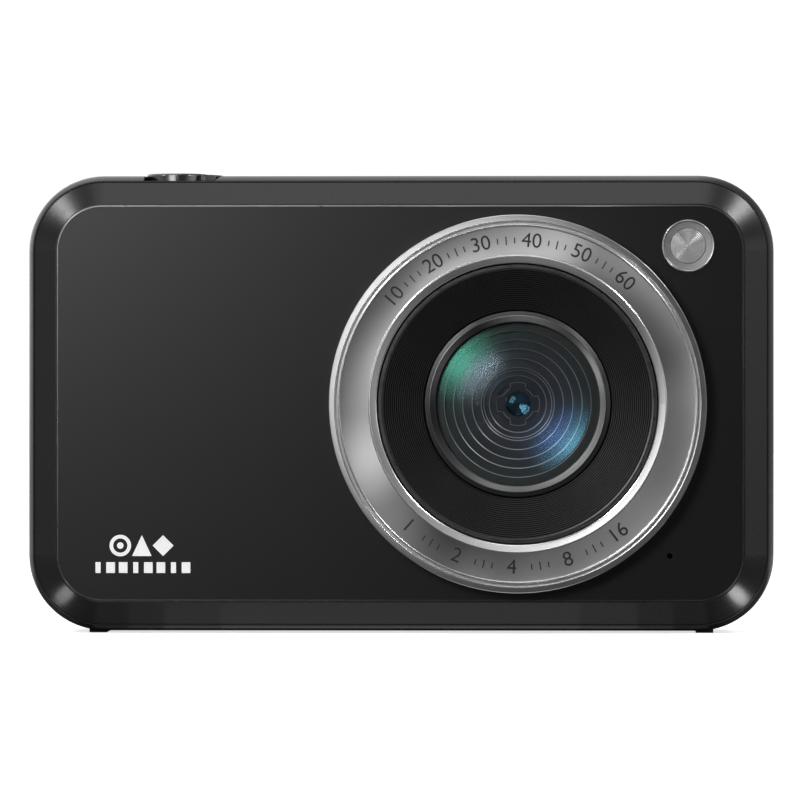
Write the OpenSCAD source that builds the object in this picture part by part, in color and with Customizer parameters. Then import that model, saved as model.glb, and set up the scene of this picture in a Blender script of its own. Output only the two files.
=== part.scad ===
// Compact digital camera: fixed lens with autofocus, flash, rear screen, removable battery.
// Millimetres. X runs to the right of someone who faces the lens, Y runs from front to back, Z is up.
// The origin is at the middle of the base, on the surface that the feet stand on.
// A depth is measured backwards from the front panel's face.

/* [Body] */
// Width of the body
body_w = 104; // [100:1:130]
// Height of the body between its top and bottom faces
body_h = 63.5; // [62:0.5:80]
// Depth of the body from the front panel's face to the rear cover's face
body_d = 19.6; // [19.4:0.2:26]
// Radius of the body's corners seen from the front
corner_r = 10.55; // [9.5:0.05:12]
// Thickness of the side walls
wall = 1.8; // [1.4:0.1:2.2]
// How far the side band stands out past the front bevel
flare = 0.87; // [0.5:0.01:1.2]
// Depth over which the side band curves out
flare_d = 2.65; // [1.8:0.05:3.2]
// Radius of the rear cover's back edge
back_edge_r = 2.6; // [2:0.1:3]
// How far the feet stand below the body
foot_h = 0.3; // [0.2:0.05:0.6]

/* [Front cover] */
// Width of the sloping bevel seen from the front
bevel_w = 3.33; // [2.5:0.05:4]
// Depth of the sloping bevel
bevel_d = 2.1; // [1.6:0.05:2.2]
// Depth of the front cover's plate behind the panel's face
cover_d = 2.4; // [2.3:0.05:2.8]
// Thickness of the front panel
panel_t = 0.8; // [0.6:0.05:1]

/* [Lens] */
// Distance of the lens axis from the body's side
lens_from_side = 35.65; // [34:0.05:40]
// Distance of the lens axis below the body's middle height
lens_drop = 0.1; // [0:0.05:1]
// Outer radius of the bright trim ring
trim_r = 26.2; // [24.5:0.1:27]
// Inner radius of the bright trim ring
trim_bore_r = 19.45; // [18.8:0.05:20]
// How far the trim ring stands out in front of the panel
lens_proud = 4.2; // [3.4:0.1:5.5]
// Inner radius of the ribbed bezel
bezel_bore_r = 13; // [12.6:0.05:13.6]
// Number of fine ribs on the bezel
rib_count = 20; // [12:1:24]
// Radius of the round glass window
window_r = 11.3; // [10.8:0.05:11.5]
// Number of steps in the light baffle
baffle_steps = 5; // [3:1:6]
// Radius of the lens barrel
barrel_r = 3.05; // [2.7:0.05:3.3]
// Length of the lens barrel
barrel_l = 4.3; // [3.6:0.1:4.4]
// Focusing travel of the lens barrel
focus_travel = 0.25; // [0.1:0.05:0.3]

/* [Flash and microphone] */
// Distance of the flash from the body's side
flash_from_side = 12; // [10.5:0.1:14]
// Distance of the flash below the body's top
flash_from_top = 9.9; // [9:0.1:12]
// Outer radius of the flash's trim ring
flash_r = 3.64; // [3:0.02:4.2]
// Radius of the flash lens
flash_lens_r = 2.42; // [2:0.02:2.6]
// Radius of the microphone hole
mic_hole_r = 0.4; // [0.3:0.05:0.6]

/* [Top controls] */
// Distance of the zoom ring's axis from the body's side
zoom_from_side = 20.6; // [17:0.1:24]
// Outer radius of the zoom ring
zoom_r = 4.25; // [3.9:0.05:4.5]
// Reach of the zoom ring's tab from its axis
zoom_tab_r = 6.7; // [6:0.1:8]
// Turn of the zoom ring each way
zoom_turn = 20; // [8:1:22]
// Radius of the shutter button
shutter_r = 2.9; // [2.4:0.05:3.1]
// How far the shutter button stands out of the body's top
shutter_proud = 0.5; // [0.4:0.05:0.9]
// Travel of the shutter button
shutter_travel = 0.8; // [0.4:0.1:0.8]
// Radius of the power button
power_r = 2.2; // [1.8:0.1:3]

/* [Rear controls] */
// Radius of the ring of four direction keys
nav_r = 9; // [8:0.1:9.6]
// Radius of the confirm button
ok_r = 3.9; // [3.4:0.1:4.2]
// Radius of the four small round keys
key_r = 2.5; // [2:0.1:2.8]
// How far the keys stand out of the rear cover
key_proud = 0.35; // [0.2:0.05:0.5]
// Travel of the keys
key_travel = 0.35; // [0.2:0.05:0.35]

/* [Screen] */
// Width of the screen's window
screen_w = 66; // [60:0.5:66.5]
// Height of the screen's window
screen_h = 50; // [44:0.5:52]

/* [Battery] */
// Width of the battery
batt_w = 34.6; // [30:0.2:36]
// Thickness of the battery
batt_t = 5.8; // [4.8:0.1:7]
// Height of the battery
batt_h = 38; // [32:0.5:46]
// Thickness of the battery door
door_t = 1.6; // [1.3:0.1:1.7]
// Radius of the door's hinge pin
pin_r = 0.6; // [0.4:0.05:0.7]

/* [Sockets and mounts] */
// Length of the memory card
card_l = 15; // [15:0.5:15]
// Width of the memory card
card_w = 11; // [11:0.5:11]
// Thickness of the memory card
card_t = 1; // [0.7:0.1:1.1]
// Wall radius of the tripod thread
tripod_r = 2.6; // [2.5:0.05:3]
// Depth of the tripod thread
tripod_l = 4.9; // [4:0.1:5.5]
// Radius of the strap bar
strap_bar_r = 0.8; // [0.6:0.1:1]

/* [Hidden] */
$fn = 48;

// Clearance of a piece that slides or turns in its hole
slide_gap = 0.12;
// Clearance between fixed pieces that sit in one another
seat_gap = 0.05;
// Radial clearance of the hinge pin in the door
pin_gap = 0.04;
// Extra length that carries a cut past a face
past = 1;

// Depth of the whole camera from the trim ring's front to the keys' backs
whole_d = lens_proud + body_d + key_proud;
// Y position of the front panel's face
panel_y = lens_proud - whole_d / 2;
// Height of the body's bottom, top and middle
base_z = foot_h;
top_z = base_z + body_h;
mid_z = base_z + body_h / 2;
// Distances of the corner centres from the body's middle
corner_x = body_w / 2 - corner_r;
corner_z = body_h / 2 - corner_r;

// Distances out from the corner centres: bevel edge, panel edge, inner wall and cover lip
bevel_u = corner_r - flare;
panel_u = bevel_u - bevel_w;
inner_u = corner_r - wall;
lip_u = inner_u - seat_gap;
lip_t = 1;
// Flat land between the panel and the bevel
land = 0.12;
// Depths where the side frame begins, where its curve ends and where it meets the rear cover
frame_d0 = cover_d - seat_gap;
curve_d = frame_d0 + flare_d;
seam_d = body_d - 4;
// Radius of the side band's curve
flare_r = (flare * flare + flare_d * flare_d) / (2 * flare);
// Width and depth of the shadow groove at the seam
groove = 0.2;
// Length of the front and rear covers' lips inside the frame
front_lip_d = 5;
rear_lip_l = 2;
// Thickness of the rear cover's plate and its inner face
rear_t = 1.6;
rear_in_d = body_d - rear_t;

// Lens axis
lens_x = body_w / 2 - lens_from_side;
lens_z = mid_z - lens_drop;
// Spigot of the trim ring inside the panel's hole
panel_hole_r = trim_r - 2.7;
// Depths of the bezel's rim and of its inner edge
bezel_rim_d = 0.9 - lens_proud;
bezel_in_d = -1;
bezel_rim_w = 0.5;
rib_h = 0.12;
// Inner ring round the glass
inner_ring_r = bezel_bore_r - 0.13;
inner_ring_d = -1.6;
// Glass window
window_d = -1;
window_t = 0.8;
// Baffle: tube, flange behind the cover, step size and back wall
baffle_r = window_r + 0.3;
baffle_d = window_d + window_t;
baffle_flange_r = baffle_r + 1.8;
baffle_flange_t = 0.8;
baffle_top_r = window_r - 1.16;
baffle_back_d = 4.6;
baffle_back_t = 0.6;
baffle_hole_r = barrel_r + 0.3;
baffle_step = (baffle_top_r - baffle_hole_r) / (baffle_steps + 0.5);
baffle_step_d = (baffle_back_d - baffle_d) / baffle_steps;
// Autofocus module
barrel_d = baffle_back_d + focus_travel + 0.05;
af_d = 5.5;
af_w = 9.5;
af_l = 5.1;
af_front_t = 0.4;
coil_t = 0.6;
coil_l = 2;
af_bore_r = barrel_r + coil_t + 0.15;
sensor_board_d = af_d + af_l;
filter_w = 6;
filter_t = 0.3;
pocket_d = 0.7;
aperture_r = 1.77;
barrel_wall = 0.55;
barrel_tab_w = 2.2;
barrel_tab_t = 0.25;
barrel_tab_root_r = barrel_r - 0.65;

// Flash axis
flash_x = body_w / 2 - flash_from_side;
flash_z = top_z - flash_from_top;
flash_tube_r = flash_r - 0.54;
flash_tube_d = 2.3;
flash_rings = 4;
// Microphone hole
mic_x = body_w / 2 - 14.55;
mic_z = base_z + 10.54;

// Zoom ring axis and heights
zoom_x = -body_w / 2 + zoom_from_side;
zoom_d = frame_d0 + zoom_r + 0.35;
zoom_bore_r = shutter_r + 0.15;
zoom_top_z = top_z + shutter_proud - 0.2;
zoom_low_z = top_z - wall - 0.9;
zoom_floor_z = top_z - 0.8;
zoom_flange_r = zoom_r + 0.7;
zoom_tab_at = -20;
zoom_tab_half = 14;
well_r = zoom_r + slide_gap;
// Top circuit board and its switches
top_board_t = 0.8;
switch_h = 1.3;
top_board_z = top_z - 6;
switch_z = top_board_z + switch_h;
switch_r = 1.5;
shutter_low_z = top_z - 1.5;
stem_z = switch_z + shutter_travel + 0.1;
spring_wire_r = 0.15;
power_x = zoom_x + 15.4;
power_d = 8.2;

// Rear stack, measured from the rear face
window_recess = 1.1;
screen_t = 0.95;
screen_border = 1.6;
screen_frame_d0 = body_d - 4.3;
screen_panel_d0 = body_d - 3.65;
screen_d1 = body_d - 1.75;
screen_x = body_w / 2 - lip_t - wall - 0.6 - screen_w / 2;
main_board_d = body_d - 7.1;
board_t = 0.8;
key_board_d = body_d - 5.4;
dome_d = key_board_d + board_t;
dome_h = 0.4;
key_low_d = dome_d + dome_h + key_travel + 0.05;
key_flange_d = body_d - 2.6;
key_flange_t = 0.7;
ok_flange_d0 = key_low_d + 0.1;
ok_flange_t = 0.6;
nav_bore_r = ok_r + 0.35;
nav_gap = 0.5;
nav_stem_at = (nav_r + ok_r) / 2 + 0.5;
key_stem_r = 0.8;
keys_x = -body_w / 2 + 18.2;
nav_z = mid_z - 2.05;
key_dx = 7;
key_dz = nav_r + 5.6;
key_places = [[-1, 1], [1, 1], [-1, -1], [1, -1]];
key_board_w = 26.4;
key_board_h = 37;
speaker_x = keys_x + 9.8;
speaker_z = top_z - 10;
speaker_r = 4.9;
light_x = keys_x - 7.2;

// Battery chamber
tray_wall = 0.8;
tray_gap = 0.2;
batt_x = -body_w / 2 + 31;
batt_d1 = main_board_d - 0.2 - tray_wall - tray_gap;
batt_d0 = batt_d1 - batt_t;
batt_mid_d = (batt_d0 + batt_d1) / 2;
batt_z0 = base_z + wall + lip_t + 0.4;
batt_z1 = batt_z0 + batt_h;
contact_h = 1.5;
tray_top_z = batt_z1 + contact_h + 0.1;
batt_left = batt_x - batt_w / 2;
batt_right = batt_x + batt_w / 2;
// Battery door and its hinge
door_over = 1.1;
door_gap = 0.2;
knuckle_r = pin_r + 0.6;
hinge_z = base_z + knuckle_r + 0.05;
hinge_d = batt_d1 + knuckle_r + 0.4;
door_x0 = batt_left - door_over;
door_x1 = batt_right + door_over;
door_d0 = batt_d0 - 0.5;
knuckle_l = (door_x1 - door_x0) / 4;
hinge_clear = 0.15;
clip_w = 6;
// Battery latch
latch_z = base_z + wall + 0.2;
latch_t = 1;
latch_w = 3;
latch_hook = 1.3;
latch_tail = 3.1;
latch_travel = latch_hook + 0.2;

// Memory card and its socket
card_z = base_z + 17.2;
card_x1 = body_w / 2 - 0.8;
card_d = main_board_d - 1.5;
card_shell = 0.25;
card_gap = 0.15;
// USB socket
usb_z = base_z + 39.7;
usb_w = 8.94;
usb_h = 3.16;
usb_l = 7.35;
usb_wall = 0.3;
usb_x1 = body_w / 2 - 0.25;
usb_d = main_board_d - usb_h / 2;
// Tripod bush
tripod_x = lens_x - 5.35;
tripod_d = 9.1;
bush_r = 3.85;
bush_plate_w = 12;
bush_plate_t = 1.15;
// Strap pocket and bar
strap_z = top_z - 16.3;
strap_h = 7;
strap_d = 9.5;
strap_w = 5;
strap_deep = 3.6;
strap_wall = 1;
strap_bar_x = -body_w / 2 + 1.3;
// Feet
foot_w = 2.4;
foot_from_side = 9.6;
foot_seat = 0.6;
foot_d0 = curve_d + 0.4;
foot_d1 = seam_d - 0.4;
// Screws: shaft, head and how deep the case screws' heads are sunk
screw_r = 0.8;
screw_l = 4.6;
screw_head_r = 1.5;
screw_head_t = 0.7;
screw_sink = 0.8;
screw_d = curve_d + 1.9;
boss_w = 5;
boss_d = screw_d + 2;
// Places of the case screws: [x, z, turn about Y that points the head outwards from +X]
screw_places = [
    [body_w / 2, base_z + 29.2, 0],
    [lens_x + 9.5, base_z, 90],
    [-body_w / 2, base_z + 13.7, 180],
    [-body_w / 2, base_z + 33.7, 180]
];
// Posts of the front cover that carry the main board
post_r = 1.9;
// Radial clearance of the screws' holes
screw_gap = 0.02;
post_places = [
    [lens_x + 13.65, top_z - 8.8],
    [-body_w / 2 + 8.7, base_z + 41.2],
    [lens_x + 14.15, base_z + 9]
];
// Top board's hanging post
hang_x = zoom_x + 8;
hang_r = 1.3;

cover_grey = "#3b3d41";
panel_black = "#17181a";
steel = "#b9bcc0";
key_black = "#2a2b2e";
board_green = "#1f5a3c";

// Y position of a depth
function y_at(d) = panel_y + d;

// Box between two X positions, two depths and two heights
module block(x0, x1, d0, d1, z0, z1) {
    translate([x0, y_at(d0), z0]) cube([x1 - x0, d1 - d0, z1 - z0]);
}

// Box centred on x and z, between two depths
module bar(x, z, w, h, d0, d1) {
    block(x - w / 2, x + w / 2, d0, d1, z - h / 2, z + h / 2);
}

// Cylinder that runs front to back
module rod(x, z, r, d0, d1) {
    translate([x, y_at(d0), z]) rotate([-90, 0, 0]) cylinder(r = r, h = d1 - d0);
}

// Cylinder that stands upright
module post(x, d, r, z0, z1) {
    translate([x, y_at(d), z0]) cylinder(r = r, h = z1 - z0);
}

// Cylinder that runs left to right
module axle(d, z, r, x0, x1) {
    translate([x0, y_at(d), z]) rotate([0, 90, 0]) cylinder(r = r, h = x1 - x0);
}

// Solid turned about a front-to-back axis from [radius, depth] points
module turned(x, z, points) {
    translate([x, y_at(0), z]) rotate([-90, 0, 0]) rotate_extrude() polygon(points);
}

// Solid turned about an upright axis from [radius, height] points
module spun(x, d, points, angle = 360, start = 0) {
    translate([x, y_at(d), 0]) rotate([0, 0, start]) rotate_extrude(angle = angle) polygon(points);
}

// Flat rectangle with round corners
module rounded_rect(w, h, r) {
    square([w, h - 2 * r], center = true);
    square([w - 2 * r, h], center = true);
    for (sx = [-1, 1], sy = [-1, 1]) translate([sx * (w / 2 - r), sy * (h / 2 - r)]) circle(r);
}

// Plate with round corners, between two depths
module rounded_plate(x, z, w, h, r, d0, d1) {
    translate([x, y_at(d1), z]) rotate([90, 0, 0]) linear_extrude(d1 - d0) rounded_rect(w, h, r);
}

// Plate with the body's outline, out to a distance from the corner centres
module body_plate(u, d0, d1) {
    rounded_plate(0, mid_z, 2 * (corner_x + u), 2 * (corner_z + u), u, d0, d1);
}

// Carries a profile of [distance out from the corner centres, depth] round the body
module swept_round_body() {
    for (side = [0, 1]) mirror([side, 0, 0]) translate([corner_x, y_at(0), mid_z])
        linear_extrude(2 * corner_z, center = true) children();
    for (side = [-1, 1]) translate([0, y_at(0), mid_z + side * corner_z]) rotate([0, -90 * side, 0])
        linear_extrude(2 * corner_x, center = true) children();
    for (i = [0:3]) translate([(i % 3 == 0 ? 1 : -1) * corner_x, y_at(0), mid_z + (i < 2 ? -1 : 1) * corner_z])
        rotate([0, 90 * i, 0]) rotate([-90, 0, 0]) rotate_extrude(angle = 90) children();
}

// Puts children at each case screw, with +X pointing out of the body at the wall's face
module at_case_screws() {
    for (p = screw_places) translate([p[0], y_at(screw_d), p[1]]) rotate([0, p[2], 0]) children();
}

// Round coil spring that stands upright
module coil_spring(x, d, z0, z1, r, turns) {
    sides = 6;
    steps = 14;
    rings = turns * steps;
    rise = (z1 - z0 - 2 * spring_wire_r) / rings;
    points = [
        for (i = [0:rings], j = [0:sides - 1])
            let (a = 360 * i / steps, b = 360 * j / sides, s = r + spring_wire_r * cos(b))
            [s * cos(a), s * sin(a), spring_wire_r + rise * i + spring_wire_r * sin(b)]
    ];
    sides_of_wire = [
        for (i = [0:rings - 1], j = [0:sides - 1])
            let (k = (j + 1) % sides)
            [i * sides + j, i * sides + k, (i + 1) * sides + k, (i + 1) * sides + j]
    ];
    ends = [
        [for (j = [sides - 1:-1:0]) j],
        [for (j = [0:sides - 1]) rings * sides + j]
    ];
    translate([x, y_at(d), z0]) polyhedron(points, concat(sides_of_wire, ends));
}

// ---- Casing ----

module front_cover_profile() {
    polygon([
        [panel_u - past, panel_t + seat_gap],
        [panel_u, panel_t + seat_gap],
        [panel_u, 0],
        [panel_u + land, 0],
        [bevel_u, bevel_d],
        [bevel_u, cover_d - 2 * seat_gap],
        [lip_u, cover_d - 2 * seat_gap],
        [lip_u, front_lip_d],
        [lip_u - lip_t, front_lip_d],
        [lip_u - lip_t, cover_d],
        [panel_u - past, cover_d]
    ]);
}

module front_cover() {
    color(cover_grey) difference() {
        union() {
            swept_round_body() front_cover_profile();
            body_plate(panel_u - past / 2, panel_t + seat_gap, cover_d);
            at_case_screws() translate([-wall - seat_gap - boss_w, frame_d0 - screw_d, -boss_w / 2])
                cube([boss_w, boss_d - frame_d0, boss_w]);
            for (p = post_places) rod(p[0], p[1], post_r, cover_d - seat_gap, main_board_d);
        }
        rod(lens_x, lens_z, baffle_r + seat_gap, -past, cover_d + past);
        rod(flash_x, flash_z, flash_tube_r + seat_gap, -past, cover_d + past);
        rod(mic_x, mic_z, mic_hole_r, -past, cover_d + past);
        block(zoom_x - zoom_flange_r - 0.3, zoom_x + zoom_tab_r + 0.3, cover_d, front_lip_d + past,
            top_z - wall - 2, top_z);
        at_case_screws() rotate([0, 90, 0]) translate([0, 0, -screw_l - past])
            cylinder(r = screw_r + screw_gap, h = screw_l + past);
        for (p = post_places)
            rod(p[0], p[1], screw_r + screw_gap, main_board_d - screw_l, main_board_d + past);
    }
}

module front_panel() {
    color(panel_black) difference() {
        body_plate(panel_u - seat_gap, 0, panel_t);
        rod(lens_x, lens_z, panel_hole_r, -past, panel_t + past);
        rod(flash_x, flash_z, flash_tube_r + seat_gap, -past, panel_t + past);
        rod(mic_x, mic_z, mic_hole_r, -past, panel_t + past);
    }
}

module mid_frame_profile() {
    intersection() {
        translate([corner_r - flare_r, curve_d]) circle(flare_r);
        translate([inner_u, frame_d0]) square([wall, flare_d]);
    }
    translate([inner_u, curve_d]) square([wall, seam_d - curve_d - groove]);
    translate([inner_u, curve_d]) square([wall - groove, seam_d - curve_d]);
}

// Hollow that the zoom ring turns in, its tab's recess and the gap in front of it
module zoom_well() {
    post(zoom_x, zoom_d, well_r, zoom_low_z - past, zoom_top_z + past);
    reach = zoom_turn + zoom_tab_half + 2;
    spun(zoom_x, zoom_d, [
        [zoom_r - 0.6, zoom_floor_z],
        [zoom_tab_r + 0.25, zoom_floor_z],
        [zoom_tab_r + 0.25, zoom_top_z + past],
        [zoom_r - 0.6, zoom_top_z + past]
    ], 2 * reach, zoom_tab_at - reach);
    block(zoom_x - well_r, zoom_x + well_r, frame_d0 - past, zoom_d, zoom_floor_z, zoom_top_z + past);
}

module mid_frame() {
    color(cover_grey) difference() {
        union() {
            swept_round_body() mid_frame_profile();
            // pocket of the strap bar
            block(-corner_x - inner_u - 0.1, -body_w / 2 + strap_deep + strap_wall,
                strap_d - strap_w / 2 - strap_wall, strap_d + strap_w / 2 + strap_wall,
                strap_z - strap_h / 2 - strap_wall, strap_z + strap_h / 2 + strap_wall);
            // outer knuckles of the door's hinge, on a rail behind the door
            for (x = [door_x0, door_x1 - knuckle_l + door_gap]) {
                axle(hinge_d, hinge_z, knuckle_r, x, x + knuckle_l - door_gap);
                block(x, x + knuckle_l - door_gap, hinge_d, hinge_d + knuckle_r + 0.4,
                    hinge_z, hinge_z + knuckle_r);
            }
            block(door_x0 - 1, door_x1 + 1, hinge_d + knuckle_r + hinge_clear, seam_d - rear_lip_l - 0.1,
                base_z + wall - 0.1, hinge_z + knuckle_r);
            // guides of the battery latch
            for (side = [-1, 1])
                block(batt_right + 1.8, batt_right + latch_tail + latch_travel + 1,
                    batt_mid_d + side * (latch_w / 2 + slide_gap + 0.5) - 0.5,
                    batt_mid_d + side * (latch_w / 2 + slide_gap + 0.5) + 0.5,
                    base_z + wall - 0.1, latch_z + latch_t + 0.3);
            // post that the top board hangs from
            post(hang_x, power_d, hang_r, top_board_z, top_z - wall + 0.1);
        }
        block(door_x0 - door_gap, door_x1 + door_gap, door_d0 - door_gap,
            hinge_d - knuckle_r - hinge_clear, base_z - past, base_z + wall + 0.2);
        block(door_x0 + knuckle_l - door_gap, door_x1 - knuckle_l + door_gap,
            hinge_d - knuckle_r - hinge_clear - 0.1, hinge_d + knuckle_r + hinge_clear,
            base_z - past, base_z + wall + past);
        for (x = [door_x0 - door_gap, door_x1 - knuckle_l]) difference() {
            block(x, x + knuckle_l + door_gap, hinge_d - knuckle_r - hinge_clear - 0.1, hinge_d,
                base_z - past, base_z + wall + past);
            axle(hinge_d, hinge_z, knuckle_r, x - past, x + knuckle_l + past);
        }
        axle(hinge_d, hinge_z, pin_r + 0.01, door_x0 - past, door_x1 + past);
        block(batt_x - clip_w / 2 - 0.2, batt_x + clip_w / 2 + 0.2, door_d0 - door_gap - 0.5, door_d0,
            base_z + 0.8, base_z + wall + past);
        zoom_well();
        post(power_x, power_d, power_r + slide_gap, top_z - wall - past, top_z + past);
        // mouths of the card and USB sockets
        block(card_x1 - 3, body_w / 2 + past, card_d - card_t / 2 - 0.25, card_d + card_t / 2 + 0.25,
            card_z - card_w / 2 - 0.3, card_z + card_w / 2 + 0.3);
        translate([0, y_at(usb_d), usb_z]) rotate([90, 0, 90]) translate([0, 0, body_w / 2 - wall - past])
            linear_extrude(wall + 2 * past)
            rounded_rect(usb_h + 0.2, usb_w + 0.2, usb_h / 2 - 0.1);
        // strap pocket and the bar's seats
        block(-body_w / 2 - past, -body_w / 2 + strap_deep, strap_d - strap_w / 2, strap_d + strap_w / 2,
            strap_z - strap_h / 2, strap_z + strap_h / 2);
        post(strap_bar_x, strap_d, strap_bar_r, strap_z - strap_h / 2 - strap_wall,
            strap_z + strap_h / 2 + strap_wall);
        // seats of the tripod bush, the feet and the screws
        post(tripod_x, tripod_d, bush_r + seat_gap, base_z - past, base_z + wall + past);
        for (side = [-1, 1]) foot(side, seat_gap);
        at_case_screws() rotate([0, 90, 0]) {
            translate([0, 0, -wall - past]) cylinder(r = screw_r + screw_gap, h = wall + past);
            translate([0, 0, -screw_sink]) cylinder(r = screw_head_r + 0.1, h = screw_sink + past);
        }
    }
}

module rear_cover_profile() {
    difference() {
        union() {
            translate([panel_u, seam_d + seat_gap])
                square([corner_r - panel_u, body_d - back_edge_r - seam_d - seat_gap]);
            translate([panel_u, seam_d + seat_gap])
                square([corner_r - back_edge_r - panel_u, body_d - seam_d - seat_gap]);
            intersection() {
                translate([corner_r - back_edge_r, body_d - back_edge_r]) circle(back_edge_r);
                translate([corner_r - back_edge_r, body_d - back_edge_r]) square(back_edge_r);
            }
        }
        translate([panel_u - past, seam_d]) square([inner_u - panel_u + past, rear_in_d - seam_d]);
    }
    translate([lip_u - lip_t, seam_d - rear_lip_l]) square([lip_t, rear_lip_l + seat_gap]);
    translate([lip_u - lip_t, seam_d + seat_gap]) square([lip_t + 2 * seat_gap, rear_in_d - seam_d - seat_gap]);
}

module rear_cover() {
    color(cover_grey) difference() {
        union() {
            swept_round_body() rear_cover_profile();
            body_plate(panel_u + 0.5, rear_in_d, body_d);
            // posts that press on the key board
            for (p = key_places)
                rod(keys_x + p[0] * (key_board_w / 2 - 1.3), nav_z - 0.6 + p[1] * (key_board_h / 2 - 1.4),
                    1, dome_d, rear_in_d + 0.1);
        }
        rounded_plate(screen_x, mid_z, screen_w + 0.1, screen_h + 0.1, 2.5, body_d - window_recess,
            body_d + past);
        bar(screen_x, mid_z, screen_w - 2 * screen_border - 2, screen_h - 2 * screen_border - 2,
            rear_in_d - past, body_d);
        rod(keys_x, nav_z, nav_r + slide_gap, rear_in_d - past, body_d + past);
        for (p = key_places)
            rod(keys_x + p[0] * key_dx, nav_z + p[1] * key_dz, key_r + slide_gap, rear_in_d - past,
                body_d + past);
        for (ring = [0:2], i = [0:max(0, ring * 6 - 1)])
            rod(speaker_x + ring * 1.3 * cos(i * 60 / max(1, ring)),
                speaker_z + ring * 1.3 * sin(i * 60 / max(1, ring)), 0.35, rear_in_d - past, body_d + past);
        rod(light_x, speaker_z, 0.8 + seat_gap, rear_in_d - past, body_d + past);
        block(door_x0 - 1.2, door_x1 + 1.2, seam_d - rear_lip_l - past, seam_d, base_z + wall,
            hinge_z + knuckle_r + 0.05);
    }
}

// ---- Lens ----

module lens_trim_ring() {
    front = -lens_proud;
    face = front + 0.8;
    color(steel) turned(lens_x, lens_z, [
        [trim_bore_r, panel_t + seat_gap],
        [panel_hole_r - seat_gap, panel_t + seat_gap],
        [panel_hole_r - seat_gap, 0],
        [trim_r, 0],
        [trim_r, -0.5],
        [trim_r - 0.45, face + 0.7],
        [trim_r - 0.7, face + 0.5],
        [trim_r - 0.8, face + 0.95],
        [trim_r - 1.05, face + 0.95],
        [trim_r - 1.2, face + 0.1],
        [trim_r - 1.45, face - 0.1],
        [trim_r - 1.65, face],
        [trim_bore_r + 1.3, face],
        [trim_bore_r + 1.15, face - 0.1],
        [trim_bore_r + 0.95, front + 0.12],
        [trim_bore_r + 0.6, front],
        [trim_bore_r + 0.25, front + 0.12],
        [trim_bore_r, front + 0.5]
    ]);
}

module ribbed_bezel() {
    rim_r = trim_bore_r - 0.15;
    top_r = rim_r - bezel_rim_w - 0.15;
    run = top_r - bezel_bore_r;
    fall = bezel_in_d - bezel_rim_d;
    ribs = [
        for (i = [0:rib_count - 1], half = [0, 0.5])
            [top_r - run * (i + half) / rib_count, bezel_rim_d + 0.1 + (fall - 0.1) * (i + half) / rib_count
                + (half > 0 ? rib_h : 0)]
    ];
    color("#101113") turned(lens_x, lens_z, concat([
        [bezel_bore_r, panel_t + seat_gap],
        [rim_r, panel_t + seat_gap],
        [rim_r, bezel_rim_d],
        [rim_r - bezel_rim_w, bezel_rim_d]
    ], ribs, [[bezel_bore_r, bezel_in_d]]));
}

module lens_inner_ring() {
    color("#4b4e54") turned(lens_x, lens_z, [
        [baffle_r + seat_gap, panel_t + seat_gap],
        [inner_ring_r, panel_t + seat_gap],
        [inner_ring_r, inner_ring_d + 0.35],
        [inner_ring_r - 0.65, inner_ring_d],
        [window_r + 0.3, inner_ring_d],
        [window_r + seat_gap, inner_ring_d + 0.3],
        [window_r + seat_gap, baffle_d],
        [baffle_r + seat_gap, baffle_d]
    ]);
}

module lens_window() {
    color([0.55, 0.65, 0.75, 0.3]) rod(lens_x, lens_z, window_r, window_d, window_d + window_t);
}

module baffle_cone() {
    steps = [
        for (i = [0:baffle_steps - 1], inner = [0, 1])
            [baffle_top_r - baffle_step * (i + inner), baffle_d + baffle_step_d * (i + 1)]
    ];
    color("#0c0d0f") turned(lens_x, lens_z, concat([
        [baffle_hole_r, baffle_back_d + baffle_back_t],
        [baffle_r, baffle_back_d + baffle_back_t],
        [baffle_r, cover_d + seat_gap + baffle_flange_t],
        [baffle_flange_r, cover_d + seat_gap + baffle_flange_t],
        [baffle_flange_r, cover_d + seat_gap],
        [baffle_r, cover_d + seat_gap],
        [baffle_r, baffle_d],
        [baffle_top_r, baffle_d]
    ], steps, [[baffle_hole_r, baffle_back_d]]));
}

module af_housing() {
    color("#8d9094") difference() {
        bar(lens_x, lens_z, af_w, af_w, af_d, af_d + af_l);
        rod(lens_x, lens_z, barrel_r + 0.25, af_d - past, af_d + af_front_t + past);
        rod(lens_x, lens_z, af_bore_r, af_d + af_front_t, af_d + af_l - pocket_d - 0.6);
        rod(lens_x, lens_z, barrel_r - 0.25, af_d, af_d + af_l);
        bar(lens_x, lens_z, filter_w + 0.1, filter_w + 0.1, af_d + af_l - pocket_d, af_d + af_l + past);
    }
}

module lens_barrel() {
    front = barrel_d;
    back = barrel_d + barrel_l;
    color("#141517") difference() {
        turned(lens_x, lens_z, [
            [aperture_r, front],
            [barrel_r, front],
            [barrel_r, back],
            [barrel_r - barrel_wall, back],
            [barrel_r - barrel_wall, front + 0.7],
            [aperture_r, front + 0.3]
        ]);
        // the front's outer edge is lower between four square tabs
        difference() {
            rod(lens_x, lens_z, barrel_r + past, front - past, front + barrel_tab_t);
            rod(lens_x, lens_z, barrel_tab_root_r, front - 2 * past, front + 2 * barrel_tab_t);
            for (a = [0:90:270]) translate([lens_x, 0, lens_z]) rotate([0, a, 0])
                block(0, barrel_r + 2 * past, front - 2 * past, front + 2 * barrel_tab_t, -barrel_tab_w / 2,
                    barrel_tab_w / 2);
        }
    }
}

module af_coil() {
    front = af_d + 1.4;
    color("#b0703a") turned(lens_x, lens_z, [
        [barrel_r, front],
        [barrel_r + coil_t, front],
        [barrel_r + coil_t, front + coil_l],
        [barrel_r, front + coil_l]
    ]);
}

// Round lens with two curved faces, from its front's depth, its thickness and its faces' radii
module glass_element(r, d0, t, front_r, back_r) {
    translate([lens_x, y_at(0), lens_z]) rotate([-90, 0, 0]) rotate_extrude() intersection() {
        translate([0, d0]) square([r, t]);
        translate([0, d0 + front_r]) circle(front_r);
        translate([0, d0 + t - back_r]) circle(back_r);
    }
}

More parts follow.
